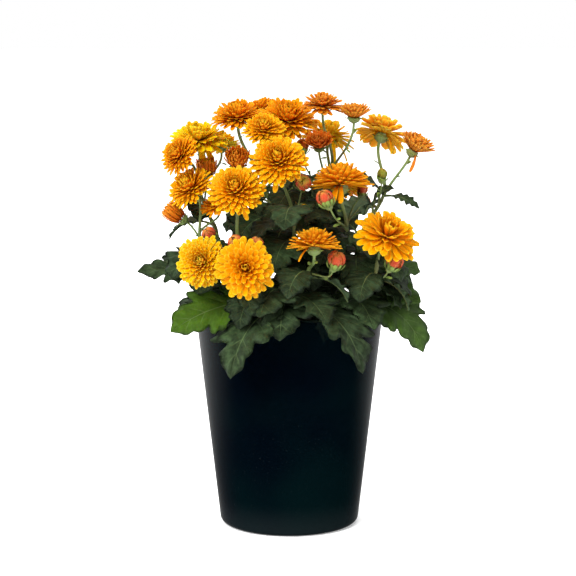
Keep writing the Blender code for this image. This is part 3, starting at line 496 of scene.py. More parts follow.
class LeafSettings(bpy.types.PropertyGroup):
    """Sizes and finish of the leaves."""
    across: IntProperty(name="Across", description="Faces from the midrib to the edge", default=4, min=2)
    thickness: metres("Thickness", "At the midrib", 0.0007)
    pucker: metres("Pucker", "Height of the blade between its veins", 0.0009)
    wave: metres("Wave", "Rise and fall of the edge", 0.0016)
    dark: tint("Dark", "Old leaf from above", paint("#2d3d27"))
    light: tint("Light", "Young leaf from above", paint("#465e36"))
    fresh: tint("Fresh", "Youngest leaf from above", paint("#3f5f0c"))
    under: tint("Under", "Leaf from below", paint("#5c7150"))
    vein: tint("Vein", "Midrib and side veins", paint("#6f8452"))


class PetalSettings(bpy.types.PropertyGroup):
    """Fullness and finish of the flower heads."""
    fullness: FloatProperty(
        name="Fullness", description="Share of the petals that are made", subtype="FACTOR",
        default=1.0, min=0.1, max=1.5)
    thickness: metres("Thickness", "Of one petal", PETAL_THICKNESS * MM)
    sepal: tint("Sepal", "Green scales under a head", paint("#7d9440"))


class StageSettings(bpy.types.PropertyGroup):
    """Camera, floor and lights."""
    distance: metres("Distance", "From the camera to the pot's axis", 2.0)
    height: metres("Height", "Of the camera", 0.536)
    pitch: FloatProperty(
        name="Pitch", description="How far the camera looks down", subtype="ANGLE", default=math.radians(9.5))
    lens: FloatProperty(name="Lens", description="Focal length in millimetres", default=150.0)
    shift: FloatProperty(name="Shift", description="Sideways shift of the picture", default=-0.0023)
    floor: tint("Floor", "Plain pale floor", (0.93, 0.93, 0.93, 1.0))


def reckon(operation, reflected=False):
    """Method of a wire that adds the Math or Vector Math node of one operation."""
    def method(self, *others):
        values = (self, *others)
        return self.math(operation, *(values[::-1] if reflected else values))

    return method


class Wire:
    """An output of a node. Python's operators on it add the Math or Vector Math nodes they stand for."""

    def __init__(self, tree, socket):
        self.tree = tree
        self.socket = socket

    @staticmethod
    def is_vector(value):
        """Whether a value is a vector or a colour."""
        if isinstance(value, Wire):
            return value.socket.type in ("VECTOR", "RGBA")
        return isinstance(value, tuple)

    def math(self, operation, *values):
        """Math node, or Vector Math node where a value is a vector."""
        if any(Wire.is_vector(v) for v in values):
            spread = [(v, v, v) if isinstance(v, (int, float)) else v for v in values]
            return add(self.tree, "ShaderNodeVectorMath", {"operation": operation}, dict(enumerate(spread)))
        return add(self.tree, "ShaderNodeMath", {"operation": operation}, dict(enumerate(values)))

    __add__ = reckon("ADD")
    __radd__ = reckon("ADD", True)
    __sub__ = reckon("SUBTRACT")
    __rsub__ = reckon("SUBTRACT", True)
    __mul__ = reckon("MULTIPLY")
    __rmul__ = reckon("MULTIPLY", True)
    __truediv__ = reckon("DIVIDE")
    __rtruediv__ = reckon("DIVIDE", True)
    __pow__ = reckon("POWER")
    sin = reckon("SINE")
    cos = reckon("COSINE")
    size = reckon("ABSOLUTE")
    least = reckon("MINIMUM")
    most = reckon("MAXIMUM")

    def step(self, low, high, start=0.0, end=1.0):
        """Smooth step from one value to another as this one goes from low to high."""
        return add(self.tree, "ShaderNodeMapRange", {"interpolation_type": "SMOOTHSTEP"},
                   {0: self, 1: low, 2: high, 3: start, 4: end})

    def blend(self, first, second):
        """Mix of two numbers, or of two colours, with this as the share of the second."""
        first = shade(first)
        second = shade(second)
        if Wire.is_vector(first) or Wire.is_vector(second):
            return add(self.tree, "ShaderNodeMix", {"data_type": "RGBA"}, {0: self, 6: first, 7: second}, 2)
        return add(self.tree, "ShaderNodeMix", {"data_type": "FLOAT"}, {0: self, 2: first, 3: second})

    def part(self, axis):
        """One of a vector's three numbers."""
        return add(self.tree, "ShaderNodeSeparateXYZ", None, {0: self}, axis)


def add(tree, kind, settings=None, inputs=None, out=0):
    """Node of any type, with its settings set before its sockets, as the wire of one output."""
    node = tree.nodes.new(kind)
    for name, value in (settings or {}).items():
        setattr(node, name, value)
    for key, value in (inputs or {}).items():
        if isinstance(value, Wire):
            tree.links.new(value.socket, node.inputs[key])
        else:
            node.inputs[key].default_value = value
    return Wire(tree, node.outputs[out])


def noise(tree, place, scale, detail=3.0, roughness=0.5):
    """Soft noise from 0 to 1 with a scale per metre."""
    return add(tree, "ShaderNodeTexNoise", None,
               {"Vector": place, "Scale": scale, "Detail": detail, "Roughness": roughness})


def here(tree):
    """Object coordinates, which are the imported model's own."""
    return add(tree, "ShaderNodeTexCoord", None, None, 3)


def flat_place(tree):
    """The piece's own map: across and along it."""
    return add(tree, "ShaderNodeUVMap", {"uv_map": "UVMap"})


def shares_of(flat):
    """Share of the way from the midrib to the edge, and from the foot to the tip."""
    return (flat.part(0) - 0.5).size() * 2.0, flat.part(1)


def kept(tree, name):
    """Number kept on the mesh under a name."""
    return add(tree, "ShaderNodeAttribute", {"attribute_name": name}, None, 2)


def material(name, build, **constants):
    """Principled material whose changing values come from build, which returns them by socket."""
    made = bpy.data.materials.new(name)
    made.use_nodes = True
    tree = made.node_tree
    shader = tree.nodes["Principled BSDF"]
    for socket, value in constants.items():
        shader.inputs[socket.replace("_", " ")].default_value = value
    for socket, wire in build(tree).items():
        tree.links.new(wire.socket, shader.inputs[socket])
    return made


def skin(tree, colour, rough, height, depth, strength):
    """Colour, roughness and relief of a surface, the relief's depth in metres."""
    relief = add(tree, "ShaderNodeBump", None, {"Height": height, "Distance": depth, "Strength": strength})
    return {"Base Color": colour, "Roughness": rough, "Normal": relief}


def glaze(tree):
    """Deep black glaze, very slightly uneven, with a little dust and fine wear."""
    settings = bpy.context.scene.mum_pot
    place = here(tree)
    height = place.part(2)
    cloud = noise(tree, place, 9.0, 2.0)
    speck = noise(tree, place, 900.0, 2.0).step(0.66, 0.80)
    foot = height.step(0.0, 0.03, 1.0, 0.0)
    colour = cloud.step(0.3, 0.7).blend(settings.colour, "#020e10")
    dusty = (speck * 0.10 + foot * 0.05).blend(colour, "#5c6264")
    rough = settings.gloss + cloud * 0.05 + speck * 0.2 + foot * 0.05
    found = skin(tree, dusty, rough, noise(tree, place, 60.0, 1.0), 0.0002, 0.25)
    # The clear coat mirrors the pale walls as bands at both sides, which fade towards the foot
    found["Coat Weight"] = height.step(0.04, 0.20, 0.06, 1.0)
    return found


def compost(tree):
    """Moist peat: dark crumbs with paler fibres."""
    place = here(tree)
    grain = noise(tree, place, 420.0, 5.0, 0.7)
    patch = noise(tree, place, 45.0, 3.0)
    fibre = noise(tree, place * (1.0, 6.0, 2.0), 260.0, 2.0).step(0.62, 0.72)
    wet = (grain * 0.7 + patch * 0.5).step(0.3, 0.9)
    soil = wet.blend("#120c08", bpy.context.scene.mum_soil.colour)
    colour = (fibre * 0.45).blend(soil, "#6b4f36")
    return skin(tree, colour, grain.step(0.2, 0.8, 0.75, 1.0), grain, 0.001, 0.8)


def stem_skin(tree):
    """Young stalks are pale green; old stems are darker, ribbed and a little brown."""
    settings = bpy.context.scene.mum_stems
    place = here(tree)
    streak = noise(tree, place * (9.0, 9.0, 1.0), 110.0, 3.0)
    patch = noise(tree, place, 38.0, 2.0)
    colour = kept(tree, "age").blend(settings.young, settings.old)
    colour = (patch.step(0.42, 0.7) * 0.55).blend(colour, "#75613a")
    colour = (streak.step(0.35, 0.7) * 0.3).blend(colour, "#98a76c")
    return skin(tree, colour, patch.step(0.2, 0.8, 0.45, 0.65), streak, 0.0004, 0.5)


def leaf_skin(tree):
    """Matte grey-green blade with pale veins, paler from below."""
    settings = bpy.context.scene.mum_leaves
    place = here(tree)
    across, along = shares_of(flat_place(tree))
    under = kept(tree, "under").step(0.55, 1.0)
    youth = kept(tree, "youth")
    veins = across.step(0.01, 0.045, 1.0, 0.0) * 0.9
    for row in VEIN_ROWS:
        gap = (along - row / (len(LEAF_EDGE) - 1)).size()
        veins = veins.most(gap.step(0.001, 0.009, 1.0, 0.0) * across.step(0.2, 0.9, 0.42, 0.0))
    fine = (along * 150.0 + across * 9.0).sin().step(0.6, 1.0) * across.step(0.1, 0.5)
    patch = noise(tree, place, 42.0, 3.0)
    grain = noise(tree, place, 700.0, 3.0, 0.6)
    quilt = noise(tree, place, 260.0, 2.0)
    mottle = noise(tree, place, 150.0, 4.0, 0.65).step(0.38, 0.66, 0.75, 0.0)
    age = (youth * 0.9 + patch * 0.45 - 0.2).step(0.0, 0.9)
    top = age.blend(settings.dark, settings.light)
    top = youth.step(0.45, 1.0).blend(top, settings.fresh)
    top = (mottle * youth.step(0.3, 0.9, 1.0, 0.45)).blend(top, "#10190c")
    top = (grain.step(0.45, 0.75) * 0.22).blend(top, "#5a6c46")
    top = (veins * 0.5 + fine * 0.05).blend(top, settings.vein)
    low = (patch * 0.5).blend(settings.under, "#43583a")
    low = (veins * 0.5).blend(low, "#93a67c")
    height = quilt * 0.9 + grain * 0.25 - veins * 0.6
    return skin(tree, under.blend(top, low), patch.step(0.2, 0.8, 0.44, 0.60), height, 0.0007, 0.8)


def petal_skin(names):
    """Petal finish from five colours: heart, foot, body, edge and back, with painted shade in heart and foot.
    """
    heart, foot, body, edge, back = [
        tuple(part * PETAL_DEPTH for part in paint(code)[:3]) + (1.0,) for code in names]

    def build(tree):
        flat = flat_place(tree)
        across, along = shares_of(flat)
        layer, luck, under = [kept(tree, key) for key in ("layer", "luck", "under")]
        streak = noise(tree, flat * (7.0, 0.9, 1.0) + luck * 31.0, 2.2, 3.0)
        vein = (flat.part(0) * 44.0).sin()
        rim = (across.step(0.55, 1.0) * 0.75).most(along.step(0.86, 1.0) * 0.8)
        # Painted shade: two lines along each petal, beside its middle, take the foot colour as shade in its
        # grooves
        groove_shade = (across - 0.40).size().step(0.04, 0.20, 1.0, 0.0) * along.step(1.0, 0.6)
        # Inner petals take the heart colour towards their feet: partly their own deeper colour, partly
        # painted shade deep in the head
        inner = layer.step(0.62, 1.0) * along.step(1.15, 0.35)
        # The foot colour at each petal's base is partly its own and partly painted shade where the petals
        # crowd together
        colour = along.step(0.05, 0.55).blend(foot, body)
        colour = (rim * along.step(0.1, 0.6)).blend(colour, edge)
        colour = (streak.step(0.45, 0.75) * 0.35 * along.step(1.0, 0.5)).blend(colour, foot)
        colour = (groove_shade * 0.28).blend(colour, foot)
        colour = (luck * 0.35).blend(colour, body)
        colour = (inner * 0.7).blend(colour, heart)
        low = (streak.step(0.3, 0.8) * 0.6).blend(back, body)
        low = along.step(0.34, 0.12).blend(low, foot)
        low = (along.step(0.66, 0.95) * 0.7).blend(low, edge)
        # Inner undersides take the foot colour towards their feet: partly painted shade deep in the head
        low = (layer.step(0.45, 0.8) * along.step(1.0, 0.5) * 0.6).blend(low, foot)
        colour = (under * 0.85).blend(colour, low)
        # The innermost petals take the heart colour: partly the heart's own, partly painted shade
        colour = (layer.step(0.90, 0.97) * 0.9).blend(colour, heart)
        return skin(tree, colour, streak.step(0.2, 0.8, 0.42, 0.6), vein * 0.5 + streak, 0.0002, 0.5)

    return build


def sepal_skin(tree):
    """Yellow-green scales with thin pale edges."""
    across, along = shares_of(flat_place(tree))
    grain = noise(tree, here(tree), 500.0, 3.0)
    colour = along.step(0.2, 1.0).blend("#5f7a38", bpy.context.scene.mum_petals.sepal)
    colour = (across.step(0.7, 1.0) * 0.5).blend(colour, "#b3b264")
    colour = (grain.step(0.4, 0.8) * 0.3).blend(colour, "#8fa061")
    return skin(tree, colour, grain.step(0.2, 0.8, 0.5, 0.65), grain, 0.0003, 0.5)


def heading(azimuth, elevation):
    """Unit vector that faces an azimuth from +X and an elevation above the horizon."""
    a = math.radians(azimuth)
    e = math.radians(elevation)
    return Vector((math.cos(a) * math.cos(e), math.sin(a) * math.cos(e), math.sin(e)))


def on_path(path, t):
    """Point on a path at the share t of the way along it."""
    s = 1.0 - t
    return s ** 3 * path.p0 + 3 * s * s * t * path.p1 + 3 * s * t * t * path.p2 + t ** 3 * path.p3


def along_path(path, t):
    """Unit direction of a path at the share t."""
    s = 1.0 - t
    lean = s * s * (path.p1 - path.p0) + 2 * s * t * (path.p2 - path.p1) + t * t * (path.p3 - path.p2)
    return lean.normalized()


def shoot_paths():
    """Path of each shoot: roots rise straight out of the soil, side shoots leave with their parent."""
    paths = {}
    for name, _, parent, place, x, y, z, foot, end in SHOOTS:
        tip = Vector((x, y, z))
        if parent is None:
            start = Vector((place[0], place[1], STEM_FREE_FROM))
            ahead = Vector((0, 0, 1))
        else:
            start = on_path(paths[parent], place)
            ahead = along_path(paths[parent], place)
        ease = (tip - start).length * SHOOT_EASE
        paths[name] = Path(start, start + ahead * ease, tip - Vector((0, 0, ease)), tip, foot, end)
    return paths


def head_seat(head):
    """Where a head's base sits and the way it faces."""
    facing = heading(head.azimuth, head.elevation)
    share = OPEN_SEAT_SHARE if head.openness > OPEN_FROM else SHUT_SEAT_SHARE
    return Vector((head.x, head.y, head.z)) - facing * head.radius * share, facing


def stalk_path(paths, head):
    """Path of the stalk that carries a head, from its shoot to the foot of its calyx."""
    seat, facing = head_seat(head)
    shoot = paths[head.shoot]
    start = on_path(shoot, head.share)
    end = seat - facing * CALYX_DEPTH
    ease = (end - start).length * STALK_EASE
    radius = STALK_SLIM + STALK_PER_HEAD * head.radius
    return Path(start, start + along_path(shoot, head.share) * ease, end - facing * ease, end,
                radius * STALK_SWELL, radius)


def leaf_frame(leaf, share):
    """Points on the midrib at shares of the leaf's length, with their side and upper directions."""
    rise = math.radians(leaf.rise)
    bend = math.radians(leaf.fall) - rise
    here_at = rise + bend * share
    out = leaf.length * (np.sin(here_at) - math.sin(rise)) / bend
    up = leaf.length * (math.cos(rise) - np.cos(here_at)) / bend
    flat = np.array(heading(leaf.azimuth, 0))
    level = np.array(heading(leaf.azimuth + 90, 0))
    tall = np.array((0.0, 0.0, 1.0))
    point = np.array(leaf.root) + np.outer(out, flat) + np.outer(up, tall)
    over = np.outer(-np.sin(here_at), flat) + np.outer(np.cos(here_at), tall)
    roll = (math.radians(leaf.roll) * share)[:, None]
    side = level * np.cos(roll) + over * np.sin(roll)
    return point, side, over * np.cos(roll) - level * np.sin(roll)


def mix(pair, share):
    """Number at a share of the way from the first to the second."""
    return pair[0] + (pair[1] - pair[0]) * share


def set_leaf(paths, shoot, share, *rest):
    """Plant name and leaf of a listed row."""
    return PLANT_OF[shoot], Leaf(on_path(paths[shoot], share), *rest, spread=1.0)


def leaf_rows(paths):
    """Every leaf that the plant may carry, as plant name and leaf."""
    rows = [set_leaf(paths, *row) for row in SET_LEAVES]
    for shoot, facing, spread, shares, longest, shortest in LEAF_RUNS:
        for k, share in enumerate(shares):
            long = longest + (shortest - longest) * k / (len(shares) - 1)
            turn = (GOLDEN_ANGLE * k + 180) % 360 - 180
            root = on_path(paths[shoot], share)
            height = min(max((root.z - RUN_LOW) / (RUN_HIGH - RUN_LOW), 0), 1)
            rows.append((PLANT_OF[shoot], Leaf(
                root=root, azimuth=facing + spread * turn / 180,
                rise=mix(RUN_RISE, height), fall=mix(RUN_FALL, height),
                length=long, width=long * RUN_WIDTH, roll=RUN_ROLL * math.sin(GOLDEN_ANGLE * (k + 0.5)),
                youth=RUN_YOUTH * abs(math.sin(len(rows) * GOLDEN_ANGLE)) ** 3, spread=RUN_SPREAD)))
    return rows


def leaf_trials(leaf):
    """The leaf as planned, then turned, lifted or shortened."""
    for scale, lift, turn in itertools.product(LEAF_SCALES, LEAF_LIFTS, LEAF_TURNS):
        yield leaf._replace(azimuth=leaf.azimuth + turn, rise=leaf.rise + lift, fall=leaf.fall + lift,
                            length=leaf.length * scale, width=leaf.width * scale)


def corner_tree(node):
    """Search tree of a solid's corners, in millimetres."""
    mesh = frame["nodes"][node].data
    tree = KDTree(len(mesh.vertices))
    for k, corner in enumerate(mesh.vertices):
        tree.insert(corner.co / MM, k)
    tree.balance()
    return tree


def marks(leaf):
    """Tip and widest lobes of a leaf, which are corners of its solid."""
    share, width = BROAD_LOBE if leaf.length >= BROAD_FROM_LENGTH else SMALL_LOBE
    point, side, upper = leaf_frame(leaf, np.array((PETIOLE_SHARE + (1 - PETIOLE_SHARE) * share, 1.0)))
    offset = width * leaf.width / 2
    fold = upper[0] * offset * LEAF_FOLD
    return [Vector(point[1]), *[Vector(point[0] + side[0] * offset * hand + fold) for hand in (1, -1)]]


def grown_leaves(paths):
    """The leaves that the solids hold, by plant, and then the ones that they leave out."""
    trees = {plant: corner_tree("stem_" + plant) for plant in PLANTS}
    leaves = {plant: [] for plant in PLANTS}
    for plant, leaf in leaf_rows(paths):
        for trial in leaf_trials(leaf):
            if all(trees[plant].find(mark)[2] < MATCH_WITHIN for mark in marks(trial)):
                leaves[plant].append(trial)
                break
    for row in DEEP_LEAVES:
        plant, leaf = set_leaf(paths, *row)
        leaves[plant].append(leaf)
    return leaves


def mesh_object(name, points, faces, finish, numbers=None, flat=None, edges=()):
    """Object at the origin from points in millimetres, with numbers kept on its points."""
    mesh = bpy.data.meshes.new(name)
    mesh.from_pydata((np.asarray(points) * MM).tolist(), edges, faces)
    for key, values in (numbers or {}).items():
        mesh.attributes.new(key, "FLOAT", "POINT").data.foreach_set("value", np.asarray(values, np.float32))
    if flat is not None:
        corners = np.empty(len(mesh.loops), np.int32)
        mesh.loops.foreach_get("vertex_index", corners)
        layer = mesh.uv_layers.new(name="UVMap")
        layer.data.foreach_set("uv", np.asarray(flat, np.float32)[corners].ravel())
    if finish is not None:
        mesh.materials.append(finish)
    mesh.update()
    if faces:
        mesh.shade_smooth()
    made = bpy.data.objects.new(name, mesh)
    bpy.context.scene.collection.objects.link(made)
    return made


def turned(profile, sides):
    """Points and faces of a solid turned from radii and heights; a radius of zero closes an end."""
    points = []
    rings = []
    for radius, height in profile:
        count = 1 if radius == 0 else sides
        rings.append(range(len(points), len(points) + count))
        for i in range(count):
            a = math.tau * i / sides
            points.append((radius * math.cos(a), radius * math.sin(a), height))
    faces = []
    for low, high in zip(rings, rings[1:]):
        for i in range(sides):
            j = (i + 1) % sides
            corners = [low[i % len(low)], low[j % len(low)], high[j % len(high)], high[i % len(high)]]
            faces.append(tuple(dict.fromkeys(corners)))
    return points, faces


def arc(middle, radius, start, end, steps):
    """Points of a profile's round corner, its angles in degrees from the outside."""
    angles = [math.radians(start + (end - start) * k / steps) for k in range(steps + 1)]
    return [(middle[0] + radius * math.cos(a), middle[1] + radius * math.sin(a)) for a in angles]


def dress(piece, slot, *nodes):
    """Rides the piece on the plant's body, in place of its solids."""
    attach(piece, BODY)
    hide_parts(*nodes)


def node_tree(name, sockets):
    """Geometry node tree with one geometry in and out and the named inputs, as tree and wires by name."""
    tree = bpy.data.node_groups.new(name, "GeometryNodeTree")
    tree.interface.new_socket("Geometry", in_out="OUTPUT", socket_type="NodeSocketGeometry")
    tree.interface.new_socket("Geometry", in_out="INPUT", socket_type="NodeSocketGeometry")
    for key, kind in sockets.items():
        tree.interface.new_socket(key, in_out="INPUT", socket_type="NodeSocket" + kind)
    start = tree.nodes.new("NodeGroupInput")
    return tree, {socket.name: Wire(tree, socket) for socket in start.outputs if socket.name}


def finish_tree(tree, geometry, finish):
    """Realizes what the tree made, smooths it and gives it its material."""
    real = add(tree, "GeometryNodeRealizeInstances", None, {0: geometry})
    smooth = add(tree, "GeometryNodeSetShadeSmooth", None, {0: real})
    dressed = add(tree, "GeometryNodeSetMaterial", None, {"Geometry": smooth, "Material": finish})
    end = tree.nodes.new("NodeGroupOutput")
    tree.links.new(dressed.socket, end.inputs[0])


def grow(piece, tree, values):
    """Turns a piece into the plain mesh that a node tree makes of it."""
    modifier = piece.modifiers.new("grown", "NODES")
    modifier.node_group = tree
    for item in tree.interface.items_tree:
        if item.in_out == "INPUT" and item.name in values:
            modifier[item.identifier] = values[item.name]
    graph = bpy.context.evaluated_depsgraph_get()
    plain = bpy.data.meshes.new_from_object(
        piece.evaluated_get(graph), preserve_all_data_layers=True, depsgraph=graph)
    piece.modifiers.remove(modifier)
    piece.data = plain
    return piece


def tube_tree():
    """Tubes along the edges of a mesh, as thick as its points say."""
    tree, given = node_tree("Tubes", {"Sides": "Int", "Material": "Material"})
    curve = add(tree, "GeometryNodeMeshToCurve", None, {0: given["Geometry"]})
    ring = add(tree, "GeometryNodeCurvePrimitiveCircle", None, {"Resolution": given["Sides"], "Radius": 1.0})
    thick = add(tree, "GeometryNodeInputNamedAttribute", {"data_type": "FLOAT"}, {"Name": "thick"})
    tubes = add(tree, "GeometryNodeCurveToMesh", None,
                {"Curve": curve, "Profile Curve": ring, "Scale": thick, "Fill Caps": True})
    finish_tree(tree, tubes, given["Material"])
    return tree


def crumb_tree():
    """Crumbs strewn over a surface, sunk halfway into it."""
    tree, given = node_tree("Crumbs", {"Density": "Float", "Size": "Float", "Material": "Material"})
    strewn = add(tree, "GeometryNodeDistributePointsOnFaces", None,
                 {"Mesh": given["Geometry"], "Density": given["Density"]})
    ball = add(tree, "GeometryNodeMeshIcoSphere", None, {"Radius": 1.0, "Subdivisions": 2})
    rough = noise(tree, add(tree, "GeometryNodeInputPosition"), 1.7, 2.0) - 0.5
    lump = add(tree, "GeometryNodeSetPosition", None,
               {0: ball, "Offset": add(tree, "GeometryNodeInputNormal") * rough * 0.9})
    size = random_number(tree, 0.35, 1.0, 3) * given["Size"]
    squat = add(tree, "ShaderNodeCombineXYZ", None,
                {0: size, 1: size * random_number(tree, 0.6, 1.0, 5), 2: size * 0.7})
    turn = add(tree, "ShaderNodeCombineXYZ", None,
               {k: random_number(tree, 0.0, math.tau, 7 + k) for k in range(3)})
    crumbs = add(tree, "GeometryNodeInstanceOnPoints", None,
                 {"Points": strewn, "Instance": lump, "Rotation": turn, "Scale": squat})
    finish_tree(tree, crumbs, given["Material"])
    return tree


def random_number(tree, low, high, seed):
    """Random number of each point."""
    return add(tree, "FunctionNodeRandomValue", {"data_type": "FLOAT"}, {2: low, 3: high, "Seed": seed}, 1)


def petal_tree():
    """Copies of one petal set round a head by the golden angle, then bent to its form.

    The petal lies in the unit square: x across, y along, z through it.
    """
    kinds = {"Count": "Int", "Seed": "Int", "Facing": "Rotation", "Place": "Vector", "Material": "Material"}
    pairs = [f"{key} {end}" for key in FORM_PAIRS for end in ("outer", "inner")]
    kinds.update({key: "Float" for key in ("Reach", "Thickness", *FORM_SINGLES, *pairs)})
    tree, given = node_tree("Petals", kinds)
    points = add(tree, "GeometryNodePoints", None, {"Count": given["Count"]})
    number = add(tree, "GeometryNodeInputIndex")
    fields = {
        "layer": number / (given["Count"] - 1.0).most(1.0),
        "turn": number * math.radians(GOLDEN_ANGLE),
        "luck": random_number(tree, 0.0, 1.0, given["Seed"]),
        "chance": random_number(tree, -1.0, 1.0, given["Seed"] + 17.0),
    }
    for key, field in fields.items():
        points = add(tree, "GeometryNodeStoreNamedAttribute", {"data_type": "FLOAT", "domain": "POINT"},
                     {"Geometry": points, "Name": key, "Value": field})
    petals = add(tree, "GeometryNodeInstanceOnPoints", None,
                 {"Points": points, "Instance": given["Geometry"]})
    petals = add(tree, "GeometryNodeRealizeInstances", None, {0: petals})

    def field(key):
        return add(tree, "GeometryNodeInputNamedAttribute", {"data_type": "FLOAT"}, {"Name": key})

    layer, turn, luck, chance, span = [field(key) for key in (*fields, "span")]
    rank = layer ** LIFT_EASE
    lift, curl, long, wide = [rank.blend(given[key + " outer"], given[key + " inner"]) for key in FORM_PAIRS]
    foot, dome, hollow, wrap, scatter = [given[key] for key in FORM_SINGLES]
    place = add(tree, "GeometryNodeInputPosition")
    across, along, through = [place.part(k) for k in range(3)]
    reach = given["Reach"]
    odds = luck * 2.0 - 1.0
    lift = (lift + chance * scatter) * (math.pi / 180)
    curl = curl + odds * scatter
    # A petal that is all but straight gets two degrees of curl, because the arc is divided by it
    straight = add(tree, "ShaderNodeMath", {"operation": "COMPARE"}, {0: curl, 1: 0.0, 2: 1.0})
    curl = (straight * 2.0 + curl) * (math.pi / 180)
    lean = lift + curl * along
    length = long * reach * (1.0 + odds * LENGTH_CHANCE) * layer.step(HEART_FROM, 1.0, 1.0, HEART_LENGTH)
    half = wide * reach * (1.0 + chance * WIDTH_CHANCE)
    ridges = half * RIDGES * span * span * (1.0 - span * span)
    height = half * hollow * span * span + ridges + through * given["Thickness"]
    start = foot * reach * (1.0 - layer) ** 0.5
    out = start + length * (lean.sin() - lift.sin()) / curl - lean.sin() * height
    up = dome * reach * layer + length * (lift.cos() - lean.cos()) / curl + lean.cos() * height
    side = across * half + chance * length * along * along * LEAN_CHANCE
    round_head = (side / out.most(half * 0.6)).least(WRAP_MOST).most(-WRAP_MOST) * wrap
    side = side * (1.0 - wrap)
    angle = turn + chance * TURN_CHANCE - round_head
    bent = add(tree, "ShaderNodeCombineXYZ", None, {
        0: out * angle.cos() + side * angle.sin(),
        1: out * angle.sin() - side * angle.cos(),
        2: up,
    })
    shaped = add(tree, "GeometryNodeSetPosition", None, {0: petals, "Position": bent})
    seated = add(tree, "GeometryNodeTransform", None,
                 {0: shaped, "Translation": given["Place"], "Rotation": given["Facing"]})
    finish_tree(tree, seated, given["Material"])
    return tree


def petal_blank(name):
    """One closed petal in the unit square, thinner towards its edges."""
    lower = PETAL_ACROSS[-2:0:-1]
    ring = len(PETAL_ACROSS) + len(lower)
    points = []
    span = []
    under = []
    for along, wide in PETAL_OUTLINE:
        for number, across in enumerate(PETAL_ACROSS + lower):
            hand = 1 if number < len(PETAL_ACROSS) else -1
            points.append((across * wide, along, hand * (1 - across * across) * 0.5))
            span.append(across)
            under.append(0.5 if abs(across) == 1 else (1 - hand) / 2)
    points.append((0.0, 1.0, 0.0))
    span.append(0.0)
    under.append(0.5)
    tip = len(points) - 1
    faces = [tuple(range(ring))[::-1]]
    for low in range(0, tip, ring):
        for i in range(ring):
            j = (i + 1) % ring
            ahead = (tip,) if low + ring == tip else (low + ring + j, low + ring + i)
            faces.append((low + i, low + j, *ahead))
    flat = [(0.5 + across / 2, point[1]) for across, point in zip(span, points)]
    # The blank is a metre long, and the node tree sizes it
    return mesh_object(name, np.array(points) / MM, faces, None, {"span": span, "under": under}, flat)


def petals_at(name, tree, place, facing, form, reach, seed, finish, fullness=1.0, spin=0.0):
    """Petals, sepals or bracts round a place, the first of them turned by spin from +X."""
    turn = Vector((0, 0, 1)).rotation_difference(facing) @ Quaternion((0, 0, 1), math.radians(spin))
    values = {
        "Count": max(1, round(form.count * fullness)), "Seed": seed, "Reach": reach * MM,
        "Thickness": bpy.context.scene.mum_petals.thickness,
        "Facing": turn.to_euler(), "Place": place * MM, "Material": finish,
    }
    values.update({key: float(getattr(form, key)) for key in FORM_SINGLES})
    for key in FORM_PAIRS:
        for end, value in zip(("outer", "inner"), getattr(form, key)):
            values[f"{key} {end}"] = float(value)
    return grow(petal_blank(name), tree, values)


def join(name, pieces):
    """One object out of several."""
    with bpy.context.temp_override(active_object=pieces[0], selected_editable_objects=pieces,
                                   selected_objects=pieces):
        bpy.ops.object.join()
    pieces[0].name = name
    return pieces[0]


def smooth_edge(plain):
    """Outline of half a blade with a point between each two of its own, drawn as a smooth curve.

    The more plain it is, the closer it comes to a spear's.
    """
    rows = np.array(LEAF_EDGE)
    even = np.linspace(0, 1, len(rows)) ** 0.9
    spear = 0.92 * np.sin(np.pi * even ** 0.85) ** 0.8 * (1 - 0.25 * even) + 0.06 * (1 - even)
    rows[:, 0] += (even - rows[:, 0]) * plain
    rows[:, 1] += (spear - rows[:, 1]) * plain
    rows[:, 2] = np.minimum(rows[:, 2], rows[:, 0])
    padded = np.vstack((2 * rows[0] - rows[1], rows, 2 * rows[-1] - rows[-2]))
    smooth = []
    for k in range(1, len(rows)):
        before, start, end, after = padded[k - 1:k + 3]
        smooth.append(start)
        smooth.append((9 * (start + end) - before - after) / 16)
    smooth.append(rows[-1])
    return np.array(smooth)


